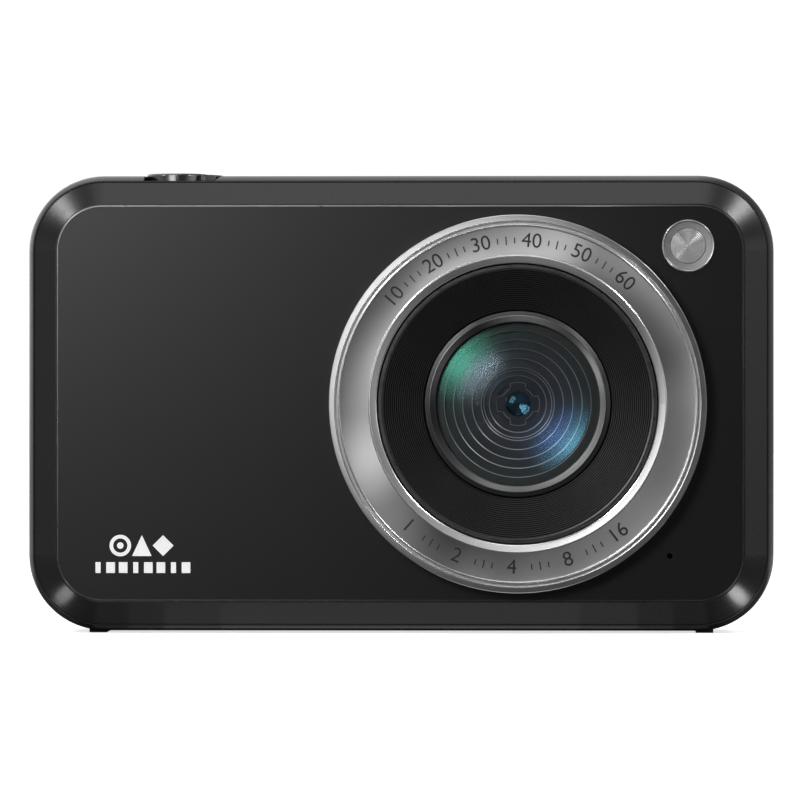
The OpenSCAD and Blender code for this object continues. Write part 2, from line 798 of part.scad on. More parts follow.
module lens_elements() {
    r = barrel_r - barrel_wall;
    color([0.6, 0.75, 0.9, 0.5]) {
        glass_element(r - 0.02, barrel_d + 0.75, 0.9, 5, 9);
        glass_element(r - 0.02, barrel_d + 1.8, 0.8, 9, 9);
        glass_element(r - 0.02, barrel_d + 2.9, 0.9, 12, 6);
    }
}

module ir_filter() {
    color([0.5, 0.75, 0.8, 0.6])
        bar(lens_x, lens_z, filter_w, filter_w, af_d + af_l - pocket_d, af_d + af_l - pocket_d + filter_t);
}

module image_sensor() {
    color("#5b5f75") bar(lens_x, lens_z, 5.2, 4.6, sensor_board_d - 0.3, sensor_board_d);
}

module camera_board() {
    color(board_green) bar(lens_x, lens_z, 12, 14, sensor_board_d, sensor_board_d + 0.7);
}

// ---- Flash and microphone ----

module flash_trim_ring() {
    color("#c7c9cc") turned(flash_x, flash_z, [
        [flash_lens_r + seat_gap, flash_tube_d],
        [flash_tube_r, flash_tube_d],
        [flash_tube_r, 0],
        [flash_r, 0],
        [flash_r, -0.25],
        [flash_r - 0.12, -0.4],
        [flash_r - 0.3, -0.3],
        [flash_lens_r + seat_gap, 0]
    ]);
}

module flash_lens() {
    pitch = flash_lens_r / (flash_rings + 1);
    rings = [
        for (i = [flash_rings:-1:1], side = [1, 0])
            [pitch * i + (side > 0 ? 0.05 : 0), side > 0 ? -0.12 : 0.02]
    ];
    color([0.85, 0.87, 0.9, 0.8]) turned(flash_x, flash_z, concat([
        [0, 0.9],
        [flash_lens_r, 0.9],
        [flash_lens_r, -0.05]
    ], rings, [[0, -0.12]]));
}

module flash_reflector() {
    color("#d7d8da") turned(flash_x, flash_z, [
        [1.9, 0.95],
        [flash_lens_r, 0.95],
        [flash_lens_r, 2.9],
        [0.9, 2.9]
    ]);
}

module flash_led() {
    color("#e6dc8a") {
        bar(flash_x, flash_z, 1.6, 1.6, 2.95, 3.45);
        bar(flash_x, flash_z, 5.6, 6, 3.45, 4.15);
    }
}

module microphone() {
    color("#b9a04c") difference() {
        bar(mic_x, mic_z, 3.8, 3, cover_d + 0.05, cover_d + 1.1);
        rod(mic_x, mic_z, mic_hole_r, cover_d - past, cover_d + 0.5);
    }
}

// ---- Top controls ----

module zoom_ring() {
    tab_top = zoom_top_z - 0.05;
    color(cover_grey) {
        spun(zoom_x, zoom_d, [
            [zoom_bore_r, zoom_low_z],
            [zoom_r, zoom_low_z],
            [zoom_r, zoom_top_z - 0.2],
            [zoom_r - 0.2, zoom_top_z],
            [zoom_bore_r + 0.15, zoom_top_z],
            [zoom_bore_r, zoom_top_z - 0.15]
        ]);
        spun(zoom_x, zoom_d, [
            [zoom_r - 0.6, zoom_floor_z + 0.1],
            [zoom_tab_r - 0.2, zoom_floor_z + 0.1],
            [zoom_tab_r, zoom_floor_z + 0.3],
            [zoom_tab_r, tab_top - 0.3],
            [zoom_tab_r - 0.2, tab_top - 0.15],
            [zoom_r - 0.6, tab_top]
        ], 2 * zoom_tab_half, zoom_tab_at - zoom_tab_half);
        // flange that holds the ring under the wall, on the rear side only
        spun(zoom_x, zoom_d, [
            [zoom_r - 0.3, zoom_low_z],
            [zoom_flange_r, zoom_low_z],
            [zoom_flange_r, top_z - wall - 0.1],
            [zoom_r - 0.3, top_z - wall - 0.1]
        ], 120, 30);
    }
}

module zoom_spring() {
    color(steel) coil_spring(zoom_x, zoom_d, top_board_z + 0.1, zoom_low_z - 0.1, zoom_r - 0.5, 3);
}

module shutter_button() {
    crown = top_z + shutter_proud;
    color("#c9cbce") spun(zoom_x, zoom_d, [
        [0, stem_z],
        [1.1, stem_z],
        [1.1, shutter_low_z],
        [shutter_r, shutter_low_z],
        [shutter_r, crown - 0.4],
        [shutter_r - 0.3, crown - 0.15],
        [shutter_r / 2, crown - 0.03],
        [0, crown]
    ]);
}

module shutter_spring() {
    color(steel) coil_spring(zoom_x, zoom_d, top_board_z + 0.02, shutter_low_z - 0.02, 2.1, 5);
}

module power_button() {
    color(key_black) {
        post(power_x, power_d, power_r, top_z - wall - 0.8, top_z - 0.05);
        post(power_x, power_d, power_r + 0.5, top_z - wall - 0.8, top_z - wall - 0.1);
        post(power_x, power_d, key_stem_r, switch_z + key_travel + 0.05, top_z - wall - 0.7);
    }
}

module top_switch_board() {
    color(board_green) block(zoom_x - 5.5, power_x + 3.5, zoom_d - 3.2, zoom_d + 4.5,
        top_board_z - top_board_t, top_board_z);
}

module tact_switches() {
    color("#2f3033") {
        post(zoom_x, zoom_d, switch_r, top_board_z, switch_z);
        post(power_x, power_d, switch_r, top_board_z, switch_z);
    }
}

// ---- Rear: screen, boards and keys ----

module screen_window() {
    color("#0a0b0d") rounded_plate(screen_x, mid_z, screen_w, screen_h, 2.45,
        body_d - window_recess + seat_gap, body_d - window_recess + seat_gap + screen_t);
}

module screen_panel() {
    color("#20242c") bar(screen_x, mid_z, screen_w - 2, screen_h - 1.6, screen_panel_d0, screen_d1 - 0.05);
}

module screen_frame() {
    color("#a4a7ab") difference() {
        bar(screen_x, mid_z, screen_w - 0.8, screen_h - 0.4, screen_frame_d0, screen_d1);
        bar(screen_x, mid_z, screen_w - 1.9, screen_h - 1.5, screen_panel_d0 - 0.02, screen_d1 + past);
        for (side = [-1, 1]) bar(screen_x + side * screen_w / 4, mid_z, screen_w / 2.6, screen_h * 0.7,
            screen_frame_d0 - past, screen_panel_d0 + 0.1);
    }
}

module main_board() {
    color(board_green) difference() {
        block(-body_w / 2 + 6.5, body_w / 2 - 6, main_board_d, main_board_d + board_t, base_z + 6.7,
            top_z - 6.3);
        for (p = post_places)
            rod(p[0], p[1], screw_r + screw_gap, main_board_d - past, main_board_d + board_t + past);
    }
}

module shield_can() {
    color("#c0c3c6") difference() {
        block(lens_x + 8.65, lens_x + 26.65, main_board_d - 2.1, main_board_d, lens_z - 5, lens_z + 16);
        block(lens_x + 8.85, lens_x + 26.45, main_board_d - 1.9, main_board_d + past, lens_z - 4.8,
            lens_z + 15.8);
    }
}

module key_board() {
    color(board_green) bar(keys_x, nav_z - 0.6, key_board_w, key_board_h, key_board_d, dome_d);
}

module key_domes() {
    module dome(x, z) {
        translate([x, y_at(dome_d), z]) rotate([-90, 0, 0]) cylinder(r1 = 1.8, r2 = 1.1, h = dome_h);
    }
    color(steel) {
        dome(keys_x, nav_z);
        for (a = [0:90:270]) dome(keys_x + nav_stem_at * cos(a), nav_z + nav_stem_at * sin(a));
        for (p = key_places) dome(keys_x + p[0] * key_dx, nav_z + p[1] * key_dz);
    }
}

module status_light_pipe() {
    color("#e8eef0") rod(light_x, speaker_z, 0.8, key_board_d + 1.4, body_d);
}

// One of the four direction keys; turn 0 points to +X, 90 to -Z
module nav_key(turn) {
    inset = nav_gap / 2;
    color(key_black) translate([keys_x, 0, nav_z]) rotate([0, turn, 0]) {
        intersection() {
            turned(0, 0, [
                [nav_bore_r, key_flange_d],
                [nav_r + 0.8, key_flange_d],
                [nav_r + 0.8, key_flange_d + key_flange_t],
                [nav_r, key_flange_d + key_flange_t],
                [nav_r, body_d + key_proud - 0.25],
                [nav_r - 0.25, body_d + key_proud],
                [nav_bore_r + 0.5, body_d + key_proud - 0.1],
                [nav_bore_r, body_d + key_proud - 0.3]
            ]);
            // quarter wedge, less half the gap on each side
            translate([inset * sqrt(2), 0, 0]) rotate([0, 45, 0])
                block(0, nav_r * 2, key_flange_d - past, body_d + key_proud + past, 0, nav_r * 2);
        }
        rod(nav_stem_at, 0, key_stem_r, key_low_d, key_flange_d + 0.1);
    }
}

module nav_right() { nav_key(0); }
module nav_down() { nav_key(90); }
module nav_left() { nav_key(180); }
module nav_up() { nav_key(270); }

module ok_button() {
    color("#3d3f43") {
        turned(keys_x, nav_z, [
            [0, ok_flange_d0],
            [ok_r + 1, ok_flange_d0],
            [ok_r + 1, ok_flange_d0 + ok_flange_t],
            [ok_r, ok_flange_d0 + ok_flange_t],
            [ok_r, body_d + key_proud - 0.25],
            [ok_r - 0.25, body_d + key_proud],
            [0, body_d + key_proud]
        ]);
        rod(keys_x, nav_z, key_stem_r, key_low_d, ok_flange_d0 + 0.05);
    }
}

// Small round key at one of the four places
module round_key(place) {
    color(key_black) turned(keys_x + place[0] * key_dx, nav_z + place[1] * key_dz, [
        [0, key_low_d],
        [key_stem_r, key_low_d],
        [key_stem_r, key_flange_d],
        [key_r + 0.6, key_flange_d],
        [key_r + 0.6, key_flange_d + key_flange_t],
        [key_r, key_flange_d + key_flange_t],
        [key_r, body_d + key_proud - 0.3],
        [key_r - 0.3, body_d + key_proud],
        [0, body_d + key_proud]
    ]);
}

module mode_button() { round_key(key_places[0]); }
module menu_button() { round_key(key_places[1]); }
module play_button() { round_key(key_places[2]); }
module delete_button() { round_key(key_places[3]); }

// ---- Battery ----

module battery() {
    color("#2c3f6b") translate([batt_x, y_at(batt_mid_d), batt_z0]) linear_extrude(batt_h)
        rounded_rect(batt_w, batt_t, 1.2);
}

module battery_tray() {
    w = batt_w / 2 + tray_gap;
    color("#1c1d20") difference() {
        block(batt_x - w - tray_wall, batt_x + w + tray_wall, batt_d0 - tray_gap - tray_wall,
            batt_d1 + tray_gap + tray_wall, batt_z0, tray_top_z + tray_wall);
        block(batt_x - w, batt_x + w, batt_d0 - tray_gap, batt_d1 + tray_gap, batt_z0 - past, tray_top_z);
    }
}

module battery_contacts() {
    for (i = [-1:1]) color("#d4af5a") difference() {
        block(batt_x + i * 4 - 0.8, batt_x + i * 4 + 0.8, batt_mid_d - 1.5, batt_mid_d + 1.5,
            batt_z1 + 0.05, tray_top_z);
        block(batt_x + i * 4 - past, batt_x + i * 4 + past, batt_mid_d - 1.2, batt_mid_d + 2,
            batt_z1 + 0.35, tray_top_z - 0.3);
    }
}

module battery_latch() {
    color("#d98a2b") block(batt_right - latch_hook, batt_right + latch_tail, batt_mid_d - latch_w / 2,
        batt_mid_d + latch_w / 2, latch_z, latch_z + latch_t);
}

module battery_door() {
    knuckle_x0 = door_x0 + knuckle_l;
    knuckle_x1 = door_x1 - knuckle_l;
    color(cover_grey) difference() {
        union() {
            block(door_x0, door_x1, door_d0, hinge_d - knuckle_r - 2 * hinge_clear, base_z, base_z + door_t);
            block(knuckle_x0, knuckle_x1, door_d0, hinge_d, base_z, base_z + door_t);
            axle(hinge_d, hinge_z, knuckle_r, knuckle_x0, knuckle_x1);
        }
        axle(hinge_d, hinge_z, pin_r + pin_gap, door_x0 - past, door_x1 + past);
        // seat of the snap clip
        block(batt_x - clip_w / 2 - 0.1, batt_x + clip_w / 2 + 0.1, door_d0 - past, door_d0 + 1.1,
            base_z + 0.8, base_z + door_t + past);
        // finger groove
        block(batt_x - 5, batt_x + 5, door_d0 + 1.6, door_d0 + 2.4, base_z - past, base_z + 0.3);
    }
}

module door_hinge_pin() {
    color(steel) axle(hinge_d, hinge_z, pin_r, door_x0, door_x1);
}

module door_snap_clip() {
    color(steel) {
        block(batt_x - clip_w / 2, batt_x + clip_w / 2, door_d0 + 0.1, door_d0 + 1, base_z + 0.8,
            base_z + 1.4);
        block(batt_x - clip_w / 2, batt_x + clip_w / 2, door_d0 - door_gap - 0.3, door_d0 + 0.2, base_z + 1,
            base_z + 1.3);
    }
}

// ---- Sockets and mounts ----

module memory_card() {
    color("#1b1c1f") block(card_x1 - card_l, card_x1, card_d - card_t / 2, card_d + card_t / 2,
        card_z - card_w / 2, card_z + card_w / 2);
}

module card_socket() {
    mouth_x = body_w / 2 - wall - lip_t / 2;
    half = card_w / 2 + card_gap;
    color("#b5b8bb") difference() {
        block(card_x1 - card_l - 2.2, mouth_x, main_board_d - 2.3, main_board_d, card_z - half - card_shell,
            card_z + half + card_shell);
        block(card_x1 - card_l - 1.2, mouth_x + past, card_d - card_t / 2 - card_gap,
            card_d + card_t / 2 + card_gap, card_z - half, card_z + half);
    }
}

// Solid with a USB opening's outline, between two X positions
module usb_outline(x0, x1, shrink) {
    translate([x0, y_at(usb_d), usb_z]) rotate([90, 0, 90]) linear_extrude(x1 - x0)
        rounded_rect(usb_h - 2 * shrink, usb_w - 2 * shrink, usb_h / 2 - shrink - 0.05);
}

module usb_socket() {
    color("#bfc2c5") {
        difference() {
            usb_outline(usb_x1 - usb_l, usb_x1, 0);
            usb_outline(usb_x1 - usb_l + 1.1, usb_x1 + past, usb_wall);
        }
        block(usb_x1 - usb_l + 0.5, usb_x1 - 1.4, usb_d - 0.35, usb_d + 0.35, usb_z - 3.3, usb_z + 3.3);
    }
}

module speaker() {
    color("#45474b") rod(speaker_x, speaker_z, speaker_r, key_board_d + 0.4, rear_in_d - 0.1);
}

module tripod_bush() {
    plate_z = base_z + wall + seat_gap;
    color(steel) difference() {
        union() {
            post(tripod_x, tripod_d, bush_r, base_z + 0.05, base_z + tripod_l + 0.9);
            block(tripod_x - bush_plate_w / 2, tripod_x + bush_plate_w / 2, tripod_d - bush_r - 0.05,
                tripod_d + bush_r + 0.05, plate_z, plate_z + bush_plate_t);
        }
        post(tripod_x, tripod_d, tripod_r, base_z - past, base_z + 0.05 + tripod_l);
    }
}

module strap_bar() {
    color(steel) post(strap_bar_x, strap_d, strap_bar_r, strap_z - strap_h / 2 - strap_wall + 0.02,
        strap_z + strap_h / 2 + strap_wall - 0.02);
}

// One foot, or the seat it sits in when grown by a gap
module foot(side, grow) {
    x = side * (body_w / 2 - foot_from_side);
    block(x - foot_w / 2 - grow, x + foot_w / 2 + grow, foot_d0 - grow, foot_d1 + grow, -grow,
        base_z + foot_seat);
}

module feet() {
    color("#1d1e20") for (side = [-1, 1]) foot(side, 0);
}

// Pan-head screw with its head's top at the origin and its shaft along -Z; the slot is a cross
module screw() {
    difference() {
        union() {
            translate([0, 0, -screw_l]) cylinder(r = screw_r, h = screw_l);
            translate([0, 0, -screw_head_t]) cylinder(r = screw_head_r, h = screw_head_t);
        }
        for (turn = [0, 90]) rotate([0, 0, turn]) translate([-0.9, -0.15, -0.35]) cube([1.8, 0.3, past]);
    }
}

module screws() {
    color("#8f9296") {
        at_case_screws() rotate([0, 90, 0]) translate([0, 0, screw_head_t - screw_sink]) screw();
        for (p = post_places) translate([p[0], y_at(main_board_d + board_t), p[1]]) rotate([-90, 0, 0])
            translate([0, 0, screw_head_t]) screw();
    }
}

front_cover();
front_panel();
mid_frame();
rear_cover();
lens_trim_ring();
ribbed_bezel();
lens_inner_ring();
lens_window();
baffle_cone();
af_housing();
lens_barrel();
af_coil();
lens_elements();
ir_filter();
image_sensor();
camera_board();
flash_trim_ring();
flash_lens();
flash_reflector();
flash_led();
microphone();
zoom_ring();
zoom_spring();
shutter_button();
shutter_spring();
power_button();
top_switch_board();
tact_switches();
screen_window();
screen_panel();
screen_frame();
main_board();
shield_can();
key_board();
key_domes();
status_light_pipe();
nav_up();
nav_down();
nav_left();
nav_right();
ok_button();
menu_button();
mode_button();
play_button();
delete_button();
battery();
battery_tray();
battery_contacts();
battery_latch();
battery_door();
door_hinge_pin();
door_snap_clip();
memory_card();
card_socket();
usb_socket();
speaker();
tripod_bush();
strap_bar();
feet();
screws();
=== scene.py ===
"""Looks of a compact digital camera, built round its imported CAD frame.

Lengths are in metres unless a name or a docstring says mm. Depths (_d) are in mm behind the panel's face.
"""
import math

import bmesh
import bpy
from mathutils import Matrix, Vector


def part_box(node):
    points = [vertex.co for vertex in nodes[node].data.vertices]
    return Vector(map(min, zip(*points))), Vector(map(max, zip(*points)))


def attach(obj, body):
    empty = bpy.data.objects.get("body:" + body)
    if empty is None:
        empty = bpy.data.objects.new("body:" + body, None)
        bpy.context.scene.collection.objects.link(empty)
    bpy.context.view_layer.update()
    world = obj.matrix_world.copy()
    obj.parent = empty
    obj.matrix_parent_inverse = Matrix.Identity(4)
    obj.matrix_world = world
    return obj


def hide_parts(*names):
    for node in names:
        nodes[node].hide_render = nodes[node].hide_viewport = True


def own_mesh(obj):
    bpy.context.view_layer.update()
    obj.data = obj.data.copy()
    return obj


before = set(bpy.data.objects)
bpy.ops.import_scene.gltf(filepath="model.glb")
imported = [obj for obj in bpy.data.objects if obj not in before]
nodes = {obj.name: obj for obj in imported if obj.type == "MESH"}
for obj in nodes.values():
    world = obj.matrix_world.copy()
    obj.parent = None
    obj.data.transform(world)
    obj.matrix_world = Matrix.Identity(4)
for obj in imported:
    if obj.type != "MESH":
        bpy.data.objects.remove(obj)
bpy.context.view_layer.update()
MM = 0.001

# ---- Places taken from the frame ----

panel_lo, panel_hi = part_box("front_panel")
ring_lo, ring_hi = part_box("lens_trim_ring")
flash_lo, flash_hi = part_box("flash_trim_ring")
window_lo, window_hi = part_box("lens_window")
body_lo, body_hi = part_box("mid_frame")
PANEL_Y = panel_lo.y
LENS = Vector(((ring_lo.x + ring_hi.x) / 2, PANEL_Y, (ring_lo.z + ring_hi.z) / 2))
FLASH = Vector(((flash_lo.x + flash_hi.x) / 2, PANEL_Y, (flash_lo.z + flash_hi.z) / 2))
WINDOW_MM = (window_hi.x - window_lo.x) / 2 / MM
BODY_MID = (body_lo + body_hi) / 2


# ---- Materials ----

NOISE_LOW, NOISE_HIGH = 0.3, 0.7  # most of a noise lies between these
NOISE_ROUGHNESS = 0.55


class Paint:
    """A Principled material made step by step. Each step returns the Paint itself; mat is the material."""

    def __init__(self, name, color, metallic=0.0, roughness=0.5, **sockets):
        self.mat = bpy.data.materials.new(name)
        self.mat.use_nodes = True
        self.tree = self.mat.node_tree
        self.bsdf = self.tree.nodes["Principled BSDF"]
        self.color = color
        self.roughness = roughness
        self.bsdf.inputs["Base Color"].default_value = (*color, 1)
        self.bsdf.inputs["Metallic"].default_value = metallic
        self.bsdf.inputs["Roughness"].default_value = roughness
        for key, value in sockets.items():
            self.bsdf.inputs[key.replace("_", " ").title().replace("Ior", "IOR")].default_value = value
        self.coords = self.tree.nodes.new("ShaderNodeTexCoord").outputs["Object"]
        self.normal = None

    def node(self, kind, **values):
        made = self.tree.nodes.new(kind)
        for key, value in values.items():
            setattr(made, key, value)
        return made

    def link(self, a, b):
        self.tree.links.new(a, b)

    def noise(self, size_mm, detail):
        """Noise whose features are about size_mm across."""
        made = self.node("ShaderNodeTexNoise")
        made.inputs["Scale"].default_value = 1 / (size_mm * MM)
        made.inputs["Detail"].default_value = detail
        made.inputs["Roughness"].default_value = NOISE_ROUGHNESS
        self.link(self.coords, made.inputs["Vector"])
        return made.outputs["Fac"]

    def ramp(self, factor, stops):
        """Colour by factor; a stop holds a place and a colour or a grey level."""
        made = self.node("ShaderNodeValToRGB")
        made.color_ramp.interpolation = "EASE"
        line = made.color_ramp.elements
        while len(line) < len(stops):
            line.new(0.5)
        for element, (place, value) in zip(line, stops):
            element.position = place
            element.color = (*value, 1) if isinstance(value, tuple) else (value, value, value, 1)
        self.link(factor, made.inputs["Fac"])
        return made.outputs["Color"]

    def radius(self):
        """Distance from the piece's own Z axis, in metres."""
        flat = self.node("ShaderNodeVectorMath", operation="MULTIPLY")
        flat.inputs[1].default_value = (1, 1, 0)
        self.link(self.coords, flat.inputs[0])
        size = self.node("ShaderNodeVectorMath", operation="LENGTH")
        self.link(flat.outputs["Vector"], size.inputs[0])
        return size.outputs["Value"]

    def azimuth(self):
        """0 to 1 once round the piece's own Z axis, counterclockwise from +X."""
        split = self.node("ShaderNodeSeparateXYZ")
        self.link(self.coords, split.inputs[0])
        turn = self.node("ShaderNodeMath", operation="ARCTAN2")
        self.link(split.outputs["Y"], turn.inputs[0])
        self.link(split.outputs["X"], turn.inputs[1])
        part = self.node("ShaderNodeMath", operation="DIVIDE")
        part.inputs[1].default_value = 2 * math.pi
        self.link(turn.outputs[0], part.inputs[0])
        wrap = self.node("ShaderNodeMath", operation="FRACT")
        self.link(part.outputs[0], wrap.inputs[0])
        return wrap.outputs[0]

    def tint(self, size_mm, amount, detail=3):
        """The base colour varies by amount each way, in patches of size_mm."""
        low = tuple(c * (1 - amount) for c in self.color)
        high = tuple(min(1, c * (1 + amount)) for c in self.color)
        mixed = self.ramp(self.noise(size_mm, detail), [(NOISE_LOW, low), (NOISE_HIGH, high)])
        self.link(mixed, self.bsdf.inputs["Base Color"])
        return self

    def gloss(self, size_mm, amount, detail=3):
        """The roughness varies by amount each way, in patches of size_mm."""
        factor = self.noise(size_mm, detail)
        made = self.node("ShaderNodeMapRange")
        made.inputs["From Min"].default_value = NOISE_LOW
        made.inputs["From Max"].default_value = NOISE_HIGH
        made.inputs["To Min"].default_value = max(0.02, self.roughness - amount)
        made.inputs["To Max"].default_value = min(1, self.roughness + amount)
        self.link(factor, made.inputs["Value"])
        self.link(made.outputs["Result"], self.bsdf.inputs["Roughness"])
        return self

    def bump(self, factor, height_mm):
        made = self.node("ShaderNodeBump")
        made.inputs["Strength"].default_value = 1
        made.inputs["Distance"].default_value = height_mm * MM
        self.link(factor, made.inputs["Height"])
        if self.normal is not None:
            self.link(self.normal, made.inputs["Normal"])
        self.normal = made.outputs["Normal"]
        self.link(self.normal, self.bsdf.inputs["Normal"])
        return self

    def grain(self, size_mm, height_mm, detail):
        """Fine unevenness of the surface."""
        return self.bump(self.noise(size_mm, detail), height_mm)

    def grooves(self, pitch_mm, height_mm):
        """Concentric grooves round the piece's own Z axis, pitch_mm apart."""
        size = self.radius()
        turn = self.node("ShaderNodeMath", operation="MULTIPLY")
        turn.inputs[1].default_value = 2 * math.pi / (pitch_mm * MM)
        self.link(size, turn.inputs[0])
        wave = self.node("ShaderNodeMath", operation="SINE")
        self.link(turn.outputs[0], wave.inputs[0])
        return self.bump(wave.outputs[0], height_mm)

    def soft_edges(self, radius_mm):
        """Rounds the look of hard edges."""
        made = self.node("ShaderNodeBevel", samples=6)
        made.inputs["Radius"].default_value = radius_mm * MM
        self.normal = made.outputs["Normal"]
        self.link(self.normal, self.bsdf.inputs["Normal"])
        return self

    def spun(self):
        """Brushed round the piece's own Z axis."""
        made = self.node("ShaderNodeTangent", direction_type="RADIAL", axis="Z")
        self.link(made.outputs["Tangent"], self.bsdf.inputs["Tangent"])
        return self

    def conic(self, stops):
        """Base colour in grey levels by azimuth in degrees, the same at 0 and 360: painted highlights and
        shade round the piece.
        """
        levels = [(degrees / 360, level) for degrees, level in stops]
        self.link(self.ramp(self.azimuth(), levels), self.bsdf.inputs["Base Color"])
        return self


def plain(name, color, **values):
    """Moulded or painted surface: uneven colour and gloss, and a fine grain."""
    paint = Paint(name, color, **values).tint(6, 0.06).gloss(2.5, 0.05, detail=5)
    return paint.grain(0.25, 0.004, detail=2).mat


def grainless(name, color, size_mm, amount, detail=3, **values):
    """Smooth surface whose gloss varies by amount, in patches of size_mm."""
    return Paint(name, color, **values).gloss(size_mm, amount, detail).mat


# casing
cover_mat = Paint("cover_paint", (0.011, 0.0112, 0.0118), roughness=0.27, specular_ior_level=0.6)
cover_mat = cover_mat.soft_edges(0.12).tint(14, 0.04, detail=1).gloss(2.5, 0.008, detail=2)
cover_mat = cover_mat.grain(0.1, 0.0001, detail=1).mat
panel_mat = Paint("panel_satin_black", (0.0038, 0.0039, 0.0042), roughness=0.3)
panel_mat = panel_mat.soft_edges(0.1).tint(14, 0.04, detail=1).gloss(0.6, 0.01, detail=2)
panel_mat = panel_mat.grain(0.1, 0.0003, detail=1).mat
# bead round the panel's rim: colour painted light at the top and upper left and dark at the right and bottom,
# a painted highlight
edge_mat = Paint("edge_painted_highlight", (0.42, 0.42, 0.43), metallic=1, roughness=0.3)
edge_mat = edge_mat.conic([
    (0, 0.07), (22, 0.07), (31, 0.14), (45, 0.4), (90, 0.42), (140, 0.46), (150, 0.46), (163, 0.32),
    (185, 0.26), (203, 0.18), (214, 0.07), (325, 0.07), (360, 0.07)]).gloss(3, 0.03, detail=2).mat
zoom_mat = Paint("zoom_ring_metal", (0.22, 0.22, 0.23), metallic=1, roughness=0.22)
zoom_mat = zoom_mat.soft_edges(0.12).gloss(2, 0.03, detail=2).mat
shutter_mat = grainless("shutter_chrome", (0.7, 0.71, 0.73), 1.5, 0.05, metallic=1, roughness=0.2)

# bright ring
# spun face: base colour painted lighter and darker by azimuth, as painted highlights; the brushing and the
# grooves are real
face_sheen_mat = Paint("spun_ring_face_painted_sheen", (0.5, 0.5, 0.51), metallic=1, roughness=0.36, anisotropic=0.6)
face_sheen_mat = face_sheen_mat.conic([
    (0, 0.8), (20, 0.38), (42, 0.33), (60, 0.28), (76, 0.55), (98, 0.4), (120, 0.38), (140, 0.27),
    (165, 0.34), (182, 0.32), (200, 0.58), (220, 0.24), (242, 0.14), (262, 0.36), (282, 0.66),
    (300, 0.9), (314, 1.0), (336, 0.78), (360, 0.8)]).spun().grooves(0.3, 0.0004).mat
# sloping inner band: base colour painted lighter and darker by azimuth, as painted highlights
band_sheen_mat = Paint("ring_inner_band_painted_sheen", (0.6, 0.6, 0.61), metallic=1, roughness=0.36, anisotropic=0.5)
band_sheen_mat = band_sheen_mat.conic([
    (0, 0.5), (40, 0.42), (85, 1.0), (120, 0.6), (165, 1.0), (205, 0.9), (255, 1.0), (290, 0.9),
    (330, 0.6), (360, 0.6)]).spun().mat
outer_mat = Paint("turned_outer_band", (0.46, 0.46, 0.47), metallic=1, roughness=0.36, anisotropic=0.5)
outer_mat = outer_mat.spun().gloss(2, 0.02, detail=2).mat
lip_mat = grainless("polished_ring_lip", (0.9, 0.9, 0.91), 4, 0.02, 2, metallic=1, roughness=0.24)
groove_mat = grainless("ring_groove", (0.34, 0.34, 0.35), 4, 0.03, 2, metallic=1, roughness=0.3)

# bezel, dark ring and baffle
rib_mat = Paint("ribbed_black", (0.002, 0.002, 0.0022), roughness=0.5, specular_ior_level=0.15)
rib_mat = rib_mat.gloss(2, 0.05).tint(4, 0.1).mat
# rib tops: a lighter copy of the ribbed black, a painted highlight along each crest
rib_crest_highlight_mat = Paint("rib_crest_painted_highlight", (0.026, 0.026, 0.028), roughness=0.4, specular_ior_level=0.3)
rib_crest_highlight_mat = rib_crest_highlight_mat.gloss(2, 0.05).tint(4, 0.1).mat
rim_mat = grainless("bezel_rim", (0.1, 0.1, 0.105), 1.5, 0.05, metallic=0.9, roughness=0.3)
# land of the dark ring: base colour painted lighter and darker by azimuth, as painted highlights
gun_sheen_mat = Paint("gunmetal_land_painted_sheen", (0.2, 0.2, 0.21), metallic=1, roughness=0.34, anisotropic=0.5)
gun_sheen_mat = gun_sheen_mat.conic([
    (0, 0.12), (26, 0.3), (52, 0.1), (88, 0.42), (118, 0.08), (155, 0.3), (188, 0.09), (215, 0.16),
    (248, 0.26), (275, 0.14), (310, 0.17), (360, 0.12)]).spun().mat
gun_edge_mat = grainless("gunmetal_edge", (0.11, 0.11, 0.115), 1.5, 0.05, metallic=1, roughness=0.36)
baffle_mat = grainless("baffle_black", (0.008, 0.009, 0.011), 1.5, 0.05, roughness=0.42)
barrel_mat = Paint("barrel_black", (0.03, 0.031, 0.035), metallic=0.6, roughness=0.35)
barrel_mat = barrel_mat.soft_edges(0.06).gloss(1, 0.04).mat
# lighter metal on the baffle's step edges and the barrel's tab outlines: painted highlights
step_highlight_mat = grainless("baffle_step_painted_highlight", (0.3, 0.32, 0.35), 1, 0.05, metallic=0.6, roughness=0.35)

# flash
flash_ring_mat = grainless("flash_ring_metal", (0.4, 0.4, 0.405), 1, 0.05, metallic=1, roughness=0.42)
# flash lens: base colour painted lighter and darker by azimuth, as painted highlights
flash_disc_sheen_mat = Paint("flash_diffuser_painted_sheen", (0.5, 0.5, 0.5), metallic=0.85, roughness=0.32)
flash_disc_sheen_mat = flash_disc_sheen_mat.conic([
    (0, 0.66), (40, 0.44), (90, 0.66), (140, 0.5), (180, 0.72), (225, 0.78), (270, 0.72),
    (320, 0.74), (360, 0.66)]).mat
mirror_mat = plain("reflector", (0.8, 0.8, 0.8), metallic=1, roughness=0.12)

# keys, marks and screen
key_mat = plain("key_black", (0.014, 0.014, 0.016), roughness=0.34)
ok_mat = plain("key_grey", (0.06, 0.062, 0.068), metallic=0.5, roughness=0.32)
# white print that also glows faintly by emission: painted light
glowing_mark_mat = plain("printed_white_glowing", (0.95, 0.95, 0.95), roughness=0.45, emission_strength=0.22,
                 emission_color=(1, 1, 1, 1))
engraved_mat = plain("engraved_black", (0.012, 0.012, 0.013), roughness=0.5)
screen_mat = plain("screen_dark", (0.004, 0.005, 0.007), roughness=0.2)
screen_glass_mat = grainless("screen_glass", (0.004, 0.0042, 0.005), 7, 0.03, 6, roughness=0.08)
light_mat = plain("light_pipe", (0.7, 0.75, 0.78), roughness=0.25)

